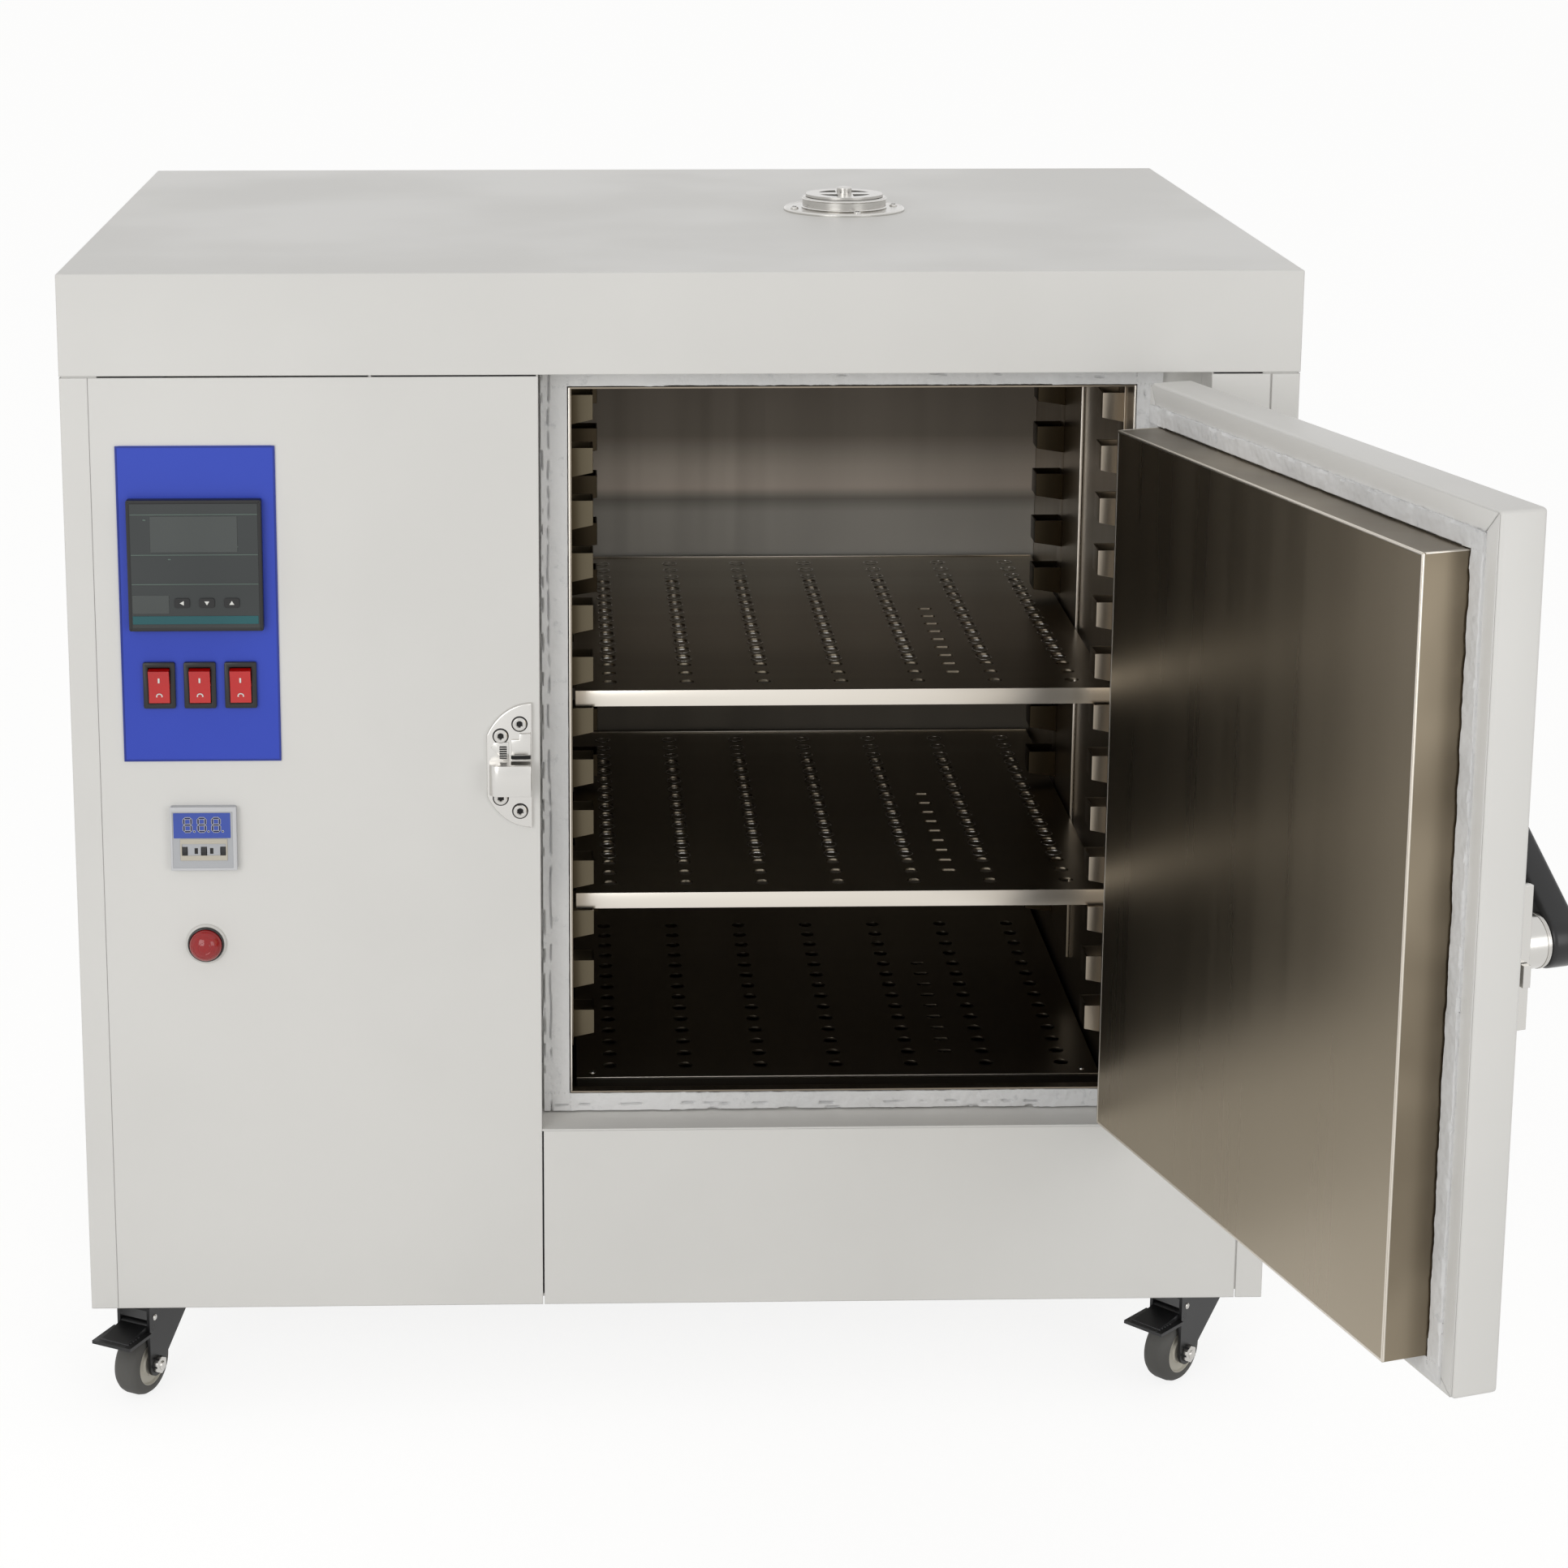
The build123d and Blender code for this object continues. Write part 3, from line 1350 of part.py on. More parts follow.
def caster_fork(spot, braked):
    """The pressed fork of one caster, and the axle riveted through its feet."""
    with BuildPart() as fork:
        with BuildSketch(trail_plane(spot, -fork_outer)):
            with BuildLine():
                Polyline(
                    (-fork_tail, fork_top),
                    (fork_nose, fork_top),
                    (fork_nose, fork_top - fork_skirt),
                    (caster_trail + fork_foot_radius, caster_wheel_radius),
                    (caster_trail - fork_foot_radius, caster_wheel_radius),
                    (-fork_tail, fork_top - fork_skirt),
                    (-fork_tail, fork_top),
                )
            make_face()
            with Locations((caster_trail, caster_wheel_radius)):
                Circle(fork_foot_radius)
        extrude(amount=2 * fork_outer)
        with BuildSketch(trail_plane(spot, -fork_inner)):
            with Locations(((fork_nose - fork_tail) / 2, (fork_top - fork_sheet) / 2)):
                Rectangle(2 * (fork_nose + fork_tail), fork_top - fork_sheet)
        extrude(amount=2 * fork_inner, mode=Mode.SUBTRACT)
        with BuildSketch(Plane.XY.offset(fork_top)):
            with Locations(spot[:2]):
                Circle(fork_top_radius)
        extrude(amount=-fork_sheet)
        with BuildSketch(Plane.XY.offset(fork_top)):
            with Locations(spot[:2]):
                Circle(king_pin_radius + king_pin_running)
        extrude(amount=-fork_sheet, mode=Mode.SUBTRACT)
        with BuildSketch(trail_plane(spot, -fork_outer)):
            with Locations((caster_trail, caster_wheel_radius)):
                Circle(axle_radius)
            if braked:
                with Locations((pedal_pivot_trail, pedal_pivot_rise)):
                    Circle(pedal_pivot_radius + pedal_running)
        extrude(amount=2 * fork_outer, mode=Mode.SUBTRACT)
        with BuildSketch(trail_plane(spot, -fork_outer)):
            with Locations((caster_trail, caster_wheel_radius)):
                Circle(axle_radius)
        extrude(amount=2 * fork_outer)
        for across, outward in ((-fork_outer, -1), (fork_outer, 1)):
            with BuildSketch(trail_plane(spot, across)):
                with Locations((caster_trail, caster_wheel_radius)):
                    RegularPolygon(axle_head_radius, nut_sides)
            extrude(amount=outward * axle_head)
    return fork.part


def caster_wheel(spot):
    """A dished wheel with a rounded tyre, bored for its axle."""
    with BuildPart() as wheel:
        with BuildSketch(trail_plane(spot, -caster_wheel_width / 2)):
            with Locations((caster_trail, caster_wheel_radius)):
                Circle(caster_wheel_radius)
        extrude(amount=caster_wheel_width)
        fillet(wheel.edges(), tyre_radius)
        for across in (-caster_wheel_width / 2, caster_wheel_width / 2 - hub_dish):
            with BuildSketch(trail_plane(spot, across)):
                with Locations((caster_trail, caster_wheel_radius)):
                    Circle(hub_dish_radius)
                    Circle(axle_radius + hub_dish, mode=Mode.SUBTRACT)
            extrude(amount=hub_dish, mode=Mode.SUBTRACT)
        with BuildSketch(trail_plane(spot, -caster_wheel_width / 2)):
            with Locations((caster_trail, caster_wheel_radius)):
                Circle(axle_radius + axle_running)
        extrude(amount=caster_wheel_width, mode=Mode.SUBTRACT)
    return wheel.part


def brake_pedal(spot):
    """A foot pedal on a cross pin between the fork's cheeks, with its shoe over the wheel."""
    cheek = fork_inner - pedal_running
    with BuildPart() as pedal:
        with BuildSketch(trail_plane(spot, -cheek)):
            shoe_low = 2 * caster_wheel_radius + shoe_clearance
            with BuildLine():
                Polyline(
                    (pedal_pivot_trail - pedal_pivot_radius * 2, shoe_low),
                    (pedal_pivot_trail + pedal_length, shoe_low),
                    (pedal_pivot_trail + pedal_length, shoe_low + pedal_sheet),
                    (pedal_pivot_trail + pedal_pivot_radius * 2, shoe_low + pedal_sheet + pedal_drop),
                    (pedal_pivot_trail - pedal_pivot_radius * 2, shoe_low + pedal_sheet + pedal_drop),
                    (pedal_pivot_trail - pedal_pivot_radius * 2, shoe_low),
                )
            make_face()
            with Locations((pedal_pivot_trail, pedal_pivot_rise)):
                Circle(pedal_pivot_radius * 2)
        extrude(amount=2 * cheek)
        with BuildSketch(trail_plane(spot, -pedal_width / 2)):
            tread = pedal_length - fork_nose + pedal_pivot_trail - leaf_clearance
            with Locations((pedal_pivot_trail + pedal_length - tread / 2, shoe_low + pedal_sheet / 2)):
                Rectangle(tread, pedal_sheet)
        extrude(amount=pedal_width)
        with BuildSketch(trail_plane(spot, -fork_outer)):
            with Locations((pedal_pivot_trail, pedal_pivot_rise)):
                Circle(pedal_pivot_radius)
        extrude(amount=2 * fork_outer)
    return pedal.part


for spot_name, spot in caster_spots.items():
    braked = spot_name.startswith("front")
    save(caster_fork(spot, braked), f"caster_fork_{spot_name}")
    save(caster_wheel(spot), f"caster_wheel_{spot_name}")
    if braked:
        save(brake_pedal(spot), f"brake_pedal_{spot_name}")

# Power inlet: a flanged gland on the back with its clamp nut
with BuildPart() as power_inlet:
    with BuildSketch(facing(back)):
        with Locations((left + inlet_left, under + inlet_rise)):
            RectangleRounded(inlet_flange_side, inlet_flange_side, inlet_flange)
    extrude(amount=-inlet_flange)
    with BuildSketch(facing(back - outer_sheet)):
        with Locations((left + inlet_left, under + inlet_rise)):
            Circle(inlet_radius)
    extrude(amount=-(inlet_length + outer_sheet))
    with BuildSketch(facing(back + inlet_length - inlet_nut)):
        with Locations((left + inlet_left, under + inlet_rise)):
            RegularPolygon(inlet_nut_radius, nut_sides)
    extrude(amount=-inlet_nut)
    with BuildSketch(facing(back - outer_sheet)):
        with Locations((left + inlet_left, under + inlet_rise)):
            Circle(inlet_bore)
    extrude(amount=-(inlet_length + outer_sheet), mode=Mode.SUBTRACT)
save(power_inlet.part, "power_inlet")
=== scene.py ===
"""Looks of the high-temperature bench oven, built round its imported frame."""

import logging
import math
from collections.abc import Callable
from dataclasses import dataclass, field
from enum import Enum

import bmesh
import bpy
from mathutils import Matrix, Vector, noise


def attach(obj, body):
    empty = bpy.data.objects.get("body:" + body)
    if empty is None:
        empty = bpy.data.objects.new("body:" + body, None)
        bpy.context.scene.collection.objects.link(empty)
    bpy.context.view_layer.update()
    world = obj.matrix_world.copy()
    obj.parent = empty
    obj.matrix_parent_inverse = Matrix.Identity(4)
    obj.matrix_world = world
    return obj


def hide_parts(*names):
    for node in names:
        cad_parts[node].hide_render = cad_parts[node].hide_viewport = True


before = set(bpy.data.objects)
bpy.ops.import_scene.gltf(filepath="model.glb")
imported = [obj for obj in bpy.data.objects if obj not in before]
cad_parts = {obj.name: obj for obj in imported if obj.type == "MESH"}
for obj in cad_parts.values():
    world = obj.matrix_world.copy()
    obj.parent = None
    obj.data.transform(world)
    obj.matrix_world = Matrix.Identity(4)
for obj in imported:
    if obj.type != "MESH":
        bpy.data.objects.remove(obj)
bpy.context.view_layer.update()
log = logging.getLogger("oven")

MM = Matrix.Scale(0.001, 4)
DOOR_OPEN = math.radians(107.2)
HINGE = Vector((353.2, -310.6, 0.0))
DOOR = Matrix.Translation(HINGE) @ Matrix.Rotation(DOOR_OPEN, 4, "Z") @ Matrix.Translation(-HINGE)


class Grain(Enum):
    """The way a brushed or rolled surface runs."""

    ACROSS = (1.0, 40.0, 40.0)
    UPRIGHT = (40.0, 40.0, 1.0)
    NONE = (20.0, 20.0, 20.0)


class Facing(Enum):
    """The side that a blank's own Z looks to once it is stood up."""

    UP = Matrix.Identity(4)
    FRONT = Matrix.Rotation(math.pi / 2, 4, "X")
    BACK = Matrix.Rotation(math.pi, 4, "Z") @ Matrix.Rotation(math.pi / 2, 4, "X")
    LEFT = Matrix.Rotation(-math.pi / 2, 4, "Z") @ Matrix.Rotation(math.pi / 2, 4, "X")
    RIGHT = Matrix.Rotation(math.pi / 2, 4, "Z") @ Matrix.Rotation(math.pi / 2, 4, "X")


class Nodes:
    """A small hand for wiring one node tree."""

    def __init__(self, tree: bpy.types.NodeTree) -> None:
        """Keep the tree.

        Args:
            tree: The tree that is wired.
        """
        self.tree = tree

    def add(self, kind: str, **values: object) -> bpy.types.Node:
        """Add a node and set its properties.

        Args:
            kind: The node's type name.
            **values: Properties by name.

        Returns:
            The new node.
        """
        node = self.tree.nodes.new(kind)
        for name, value in values.items():
            setattr(node, name, value)
        return node

    def link(self, out: bpy.types.NodeSocket, into: bpy.types.NodeSocket) -> None:
        """Join an output to an input."""
        self.tree.links.new(out, into)

    def feed(self, socket: bpy.types.NodeSocket, value: object) -> None:
        """Give an input a constant, or join it to an output.

        Args:
            socket: The input.
            value: A number, a colour or an output socket.
        """
        if isinstance(value, bpy.types.NodeSocket):
            self.link(value, socket)
        else:
            socket.default_value = value

    def math(self, operation: str, first: object, second: object,
             clamp: bool = False) -> bpy.types.NodeSocket:
        """Return the result of a Math node on two values."""
        node = self.add("ShaderNodeMath", operation=operation, use_clamp=clamp)
        self.feed(node.inputs[0], first)
        self.feed(node.inputs[1], second)
        return node.outputs[0]

    def noise(self, vector: object, scale: float, detail: float = 3.0,
              rough: float = 0.5) -> bpy.types.NodeSocket:
        """Return the value of a Noise Texture on a vector."""
        node = self.add("ShaderNodeTexNoise")
        self.link(vector, node.inputs["Vector"])
        node.inputs["Scale"].default_value = scale
        node.inputs["Detail"].default_value = detail
        node.inputs["Roughness"].default_value = rough
        return node.outputs["Fac"]

    def ramp(self, value: object, low: float, high: float, dark: float = 0.0,
             light: float = 1.0) -> bpy.types.NodeSocket:
        """Return a value mapped smoothly from one range to another."""
        node = self.add("ShaderNodeMapRange", interpolation_type="SMOOTHSTEP", clamp=True)
        self.feed(node.inputs["Value"], value)
        for name, number in (("From Min", low), ("From Max", high), ("To Min", dark), ("To Max", light)):
            node.inputs[name].default_value = number
        return node.outputs["Result"]

    def mix(self, share: object, first: object, second: object, blend: str = "MIX") -> bpy.types.NodeSocket:
        """Return a mix of two colours."""
        node = self.add("ShaderNodeMix", data_type="RGBA", blend_type=blend)
        self.feed(node.inputs[0], share)
        self.feed(node.inputs[6], first)
        self.feed(node.inputs[7], second)
        return node.outputs[2]


def tint(red: float, green: float, blue: float) -> tuple[float, float, float, float]:
    """Return a linear colour from display values of 0 to 255."""
    linear = [
        value / 255 / 12.92 if value / 255 <= 0.04045 else ((value / 255 + 0.055) / 1.055) ** 2.4
        for value in (red, green, blue)
    ]
    return (linear[0], linear[1], linear[2], 1.0)


class Effects:
    """The shader node groups that several finishes share."""

    def __init__(self) -> None:
        """Build every group once."""
        self.speckle = self._speckle()
        self.brushing = self._brushing()
        self.clouds = self._clouds()

    @staticmethod
    def _open(name: str, inputs: dict[str, float], outputs: list[str]) -> tuple[Nodes, bpy.types.Node,
                                                                                bpy.types.Node]:
        """Start a group with a vector and number inputs and value outputs.

        Args:
            name: The group's name.
            inputs: Number inputs and their defaults.
            outputs: Names of the value outputs.

        Returns:
            The wiring hand, the input node and the output node.
        """
        group = bpy.data.node_groups.new(name, "ShaderNodeTree")
        group.interface.new_socket("Vector", in_out="INPUT", socket_type="NodeSocketVector")
        for title, value in inputs.items():
            socket = group.interface.new_socket(title, in_out="INPUT", socket_type="NodeSocketFloat")
            socket.default_value = value
        for title in outputs:
            group.interface.new_socket(title, in_out="OUTPUT", socket_type="NodeSocketFloat")
        hand = Nodes(group)
        return hand, hand.add("NodeGroupInput"), hand.add("NodeGroupOutput")

    def _speckle(self) -> bpy.types.NodeTree:
        """Fine orange peel with a slower drift, for paint and moulded plastic."""
        hand, inside, outside = self._open("speckle", {"Fine": 900.0, "Slow": 5.0}, ["Height", "Drift"])
        fine = hand.add("ShaderNodeTexNoise")
        hand.link(inside.outputs["Vector"], fine.inputs["Vector"])
        hand.link(inside.outputs["Fine"], fine.inputs["Scale"])
        fine.inputs["Detail"].default_value = 2.0
        slow = hand.add("ShaderNodeTexNoise")
        hand.link(inside.outputs["Vector"], slow.inputs["Vector"])
        hand.link(inside.outputs["Slow"], slow.inputs["Scale"])
        slow.inputs["Detail"].default_value = 3.0
        hand.link(fine.outputs["Fac"], outside.inputs["Height"])
        hand.link(hand.ramp(slow.outputs["Fac"], 0.3, 0.7), outside.inputs["Drift"])
        return hand.tree

    def _brushing(self) -> bpy.types.NodeTree:
        """Long fine scratches: the vector comes in already stretched along the brushing."""
        hand, inside, outside = self._open("brushing", {"Scale": 12.0}, ["Height", "Streak"])
        fine = hand.add("ShaderNodeTexNoise")
        hand.link(inside.outputs["Vector"], fine.inputs["Vector"])
        hand.link(inside.outputs["Scale"], fine.inputs["Scale"])
        fine.inputs["Detail"].default_value = 4.0
        fine.inputs["Roughness"].default_value = 0.65
        wide = hand.add("ShaderNodeTexNoise")
        hand.link(inside.outputs["Vector"], wide.inputs["Vector"])
        hand.link(hand.math("MULTIPLY", inside.outputs["Scale"], 0.08), wide.inputs["Scale"])
        wide.inputs["Detail"].default_value = 2.0
        hand.link(fine.outputs["Fac"], outside.inputs["Height"])
        hand.link(hand.ramp(wide.outputs["Fac"], 0.25, 0.75), outside.inputs["Streak"])
        return hand.tree

    def _clouds(self) -> bpy.types.NodeTree:
        """Large soft patches with small marks, for heat tint, dust and stains."""
        hand, inside, outside = self._open("clouds", {"Scale": 3.0}, ["Patch", "Marks"])
        patch = hand.add("ShaderNodeTexNoise")
        hand.link(inside.outputs["Vector"], patch.inputs["Vector"])
        hand.link(inside.outputs["Scale"], patch.inputs["Scale"])
        patch.inputs["Detail"].default_value = 2.0
        marks = hand.add("ShaderNodeTexNoise")
        hand.link(inside.outputs["Vector"], marks.inputs["Vector"])
        hand.link(hand.math("MULTIPLY", inside.outputs["Scale"], 9.0), marks.inputs["Scale"])
        marks.inputs["Detail"].default_value = 6.0
        marks.inputs["Roughness"].default_value = 0.7
        hand.link(hand.ramp(patch.outputs["Fac"], 0.3, 0.7), outside.inputs["Patch"])
        hand.link(hand.ramp(marks.outputs["Fac"], 0.58, 0.72), outside.inputs["Marks"])
        return hand.tree


class Bench:
    """A material being wired: its tree, its shader and its Object coordinates."""

    def __init__(self, name: str) -> None:
        """Start a material with an empty Principled shader.

        Args:
            name: The material's name.
        """
        self.material = bpy.data.materials.new(name)
        self.material.use_nodes = True
        self.hand = Nodes(self.material.node_tree)
        self.material.node_tree.nodes.clear()
        self.shader = self.hand.add("ShaderNodeBsdfPrincipled")
        output = self.hand.add("ShaderNodeOutputMaterial")
        self.hand.link(self.shader.outputs["BSDF"], output.inputs["Surface"])
        self.place = self.hand.add("ShaderNodeTexCoord").outputs["Object"]

    def set(self, **values: object) -> None:
        """Set the shader's sockets, whose names have underscores for spaces."""
        for name, value in values.items():
            self.hand.feed(self.shader.inputs[name.replace("_", " ")], value)

    def group(self, effect: bpy.types.NodeTree, vector: object = None, **values: float) -> bpy.types.Node:
        """Place a shared effect and feed its inputs."""
        node = self.hand.add("ShaderNodeGroup", node_tree=effect)
        self.hand.link(vector or self.place, node.inputs["Vector"])
        for name, value in values.items():
            self.hand.feed(node.inputs[name], value)
        return node

    def stretched(self, scale: tuple[float, float, float],
                  turn: tuple[float, float, float] = (0, 0, 0)) -> bpy.types.NodeSocket:
        """Return Object coordinates turned and stretched by a Mapping node."""
        node = self.hand.add("ShaderNodeMapping")
        self.hand.link(self.place, node.inputs["Vector"])
        node.inputs["Rotation"].default_value = turn
        node.inputs["Scale"].default_value = scale
        return node.outputs["Vector"]

    def bump(self, height: object, strength: float, distance: float, edge: float = 0.0) -> None:
        """Raise the surface by a height value, with its edges softened.

        Args:
            height: The height value.
            strength: Share of the bump.
            distance: Reach of the bump in metres.
            edge: Radius of the softened edges in metres.
        """
        node = self.hand.add("ShaderNodeBump")
        node.inputs["Strength"].default_value = strength
        node.inputs["Distance"].default_value = distance
        self.hand.link(height, node.inputs["Height"])
        if edge:
            soft = self.hand.add("ShaderNodeBevel", samples=4)
            soft.inputs["Radius"].default_value = edge
            self.hand.link(soft.outputs["Normal"], node.inputs["Normal"])
        self.hand.link(node.outputs["Normal"], self.shader.inputs["Normal"])


@dataclass(frozen=True)
class Paint:
    """Powder coat, enamel or moulded plastic with a fine peel."""

    name: str
    slot: str
    colour: tuple[float, float, float]
    shade: tuple[float, float, float]
    roughness: float = 0.4
    coat: float = 0.0
    fine: float = 900.0
    peel: float = 0.04
    edge: float = 0.0005

    def make(self, effects: Effects) -> bpy.types.Material:
        """Build the material.

        Args:
            effects: The shared node groups.

        Returns:
            The finished material.
        """
        bench = Bench(self.name)
        peel = bench.group(effects.speckle, Fine=self.fine)
        colour = bench.hand.mix(peel.outputs["Drift"], tint(*self.shade), tint(*self.colour))
        rough = bench.hand.ramp(peel.outputs["Drift"], 0.0, 1.0, self.roughness * 1.12, self.roughness * 0.9)
        bench.set(Base_Color=colour, Roughness=rough, Coat_Weight=self.coat)
        bench.shader.inputs["Coat Roughness"].default_value = 0.12
        bench.bump(peel.outputs["Height"], self.peel, 0.0004, self.edge)
        return bench.material


@dataclass(frozen=True)
class Steel:
    """Stainless sheet or plated steel, brushed one way, with a soft heat tint."""

    name: str
    slot: str
    colour: tuple[float, float, float]
    warm: tuple[float, float, float]
    roughness: float = 0.3
    grain: Grain = Grain.ACROSS
    turn: float = 0.0
    scratch: float = 0.05
    patch: float = 2.0
    edge: float = 0.0004

    def make(self, effects: Effects) -> bpy.types.Material:
        """Build the material.

        Args:
            effects: The shared node groups.

        Returns:
            The finished material.
        """
        bench = Bench(self.name)
        along = bench.stretched(self.grain.value, (0, 0, self.turn))
        brush = bench.group(effects.brushing, along)
        cloud = bench.group(effects.clouds, Scale=self.patch)
        colour = bench.hand.mix(cloud.outputs["Patch"], tint(*self.colour), tint(*self.warm))
        streak = bench.hand.ramp(brush.outputs["Streak"], 0.0, 1.0, self.roughness * 0.96,
                                 self.roughness * 1.06)
        bench.set(Base_Color=colour, Roughness=streak, Metallic=1.0)
        bench.bump(brush.outputs["Height"], self.scratch, 0.0001, self.edge)
        return bench.material


@dataclass(frozen=True)
class PaintedReflectionWall:
    """The chamber's back wall: sheet steel whose colour changes with the height, painting reflections and
    shade: bright bands just above the shelves, darker towards the top.
    """

    name: str
    slot: str
    # Painted reflection and shade by height: the light stops at 0.372 m and from 0.536 to 0.612 m stand for
    # the shelves' glare seen in the wall, the dark stops for shade.
    reflection_bands: tuple[tuple[float, tuple[float, float, float]], ...] = (
        (0.176, (92, 84, 74)),
        (0.372, (120, 114, 104)),
        (0.480, (96, 88, 78)),
        (0.536, (206, 203, 196)),
        (0.572, (196, 193, 186)),
        (0.584, (150, 146, 138)),
        (0.594, (226, 214, 202)),
        (0.612, (206, 196, 184)),
        (0.640, (132, 124, 113)),
        (0.700, (112, 104, 94)),
        (0.769, (98, 90, 80)),
    )
    low: float = 0.176
    high: float = 0.769

    def make(self, effects: Effects) -> bpy.types.Material:
        """Build the material.

        Args:
            effects: The shared node groups.

        Returns:
            The finished material.
        """
        bench = Bench(self.name)
        brush = bench.group(effects.brushing, bench.stretched(Grain.UPRIGHT.value))
        cloud = bench.group(effects.clouds, Scale=3.0)
        parts = bench.hand.add("ShaderNodeSeparateXYZ")
        bench.hand.link(bench.place, parts.inputs[0])
        height = bench.hand.add("ShaderNodeMapRange")
        bench.hand.link(parts.outputs["Z"], height.inputs["Value"])
        height.inputs["From Min"].default_value = self.low
        height.inputs["From Max"].default_value = self.high
        # The ramp paints the reflection bands and the shade onto the wall by height.
        ramp = bench.hand.add("ShaderNodeValToRGB")
        bench.hand.link(height.outputs["Result"], ramp.inputs["Fac"])
        stops = ramp.color_ramp.elements
        while len(stops) < len(self.reflection_bands):
            stops.new(0.5)
        for stop, (level, colour) in zip(stops, self.reflection_bands):
            stop.position = (level - self.low) / (self.high - self.low)
            stop.color = tint(*colour)
        dull = bench.hand.math("MULTIPLY", cloud.outputs["Patch"], 0.35)
        colour = bench.hand.mix(dull, ramp.outputs["Color"], tint(118, 111, 101))
        rough = bench.hand.ramp(brush.outputs["Streak"], 0.0, 1.0, 0.46, 0.52)
        bench.set(Base_Color=colour, Roughness=rough, Metallic=0.55)
        bench.bump(brush.outputs["Height"], 0.01, 0.0001)
        return bench.material


@dataclass(frozen=True)
class Fibre:
    """White ceramic fibre: matt, fluffy, with grey dents."""

    name: str
    slot: str
    colour: tuple[float, float, float]
    dent: tuple[float, float, float]

    def make(self, effects: Effects) -> bpy.types.Material:
        """Build the material.

        Args:
            effects: The shared node groups.

        Returns:
            The finished material.
        """
        bench = Bench(self.name)
        cloud = bench.group(effects.clouds, Scale=9.0)
        fluff = bench.group(effects.speckle, Fine=420.0, Slow=40.0)
        share = bench.hand.math("MULTIPLY", cloud.outputs["Marks"], 0.45)
        patch = bench.hand.math("MULTIPLY_ADD", cloud.outputs["Patch"], 0.3)
        bench.hand.link(share, patch.node.inputs[2])
        colour = bench.hand.mix(patch, tint(*self.colour), tint(*self.dent))
        height = bench.hand.math("ADD", fluff.outputs["Height"], fluff.outputs["Drift"])
        bench.set(Base_Color=colour, Roughness=0.9, Specular_IOR_Level=0.2)
        bench.bump(height, 0.35, 0.0008)
        return bench.material


@dataclass(frozen=True)
class Glass:
    """Coloured clear plastic of the lamp lens."""

    name: str
    slot: str
    colour: tuple[float, float, float]

    def make(self, effects: Effects) -> bpy.types.Material:
        """Build the material.

        Args:
            effects: The shared node groups.

        Returns:
            The finished material.
        """
        bench = Bench(self.name)
        peel = bench.group(effects.speckle, Fine=300.0)
        rough = bench.hand.ramp(peel.outputs["Drift"], 0.0, 1.0, 0.12, 0.05)
        bench.set(Base_Color=tint(*self.colour), Roughness=rough, Transmission_Weight=0.35)
        bench.set(Specular_IOR_Level=0.6)
        bench.bump(peel.outputs["Height"], 0.03, 0.0003)
        return bench.material


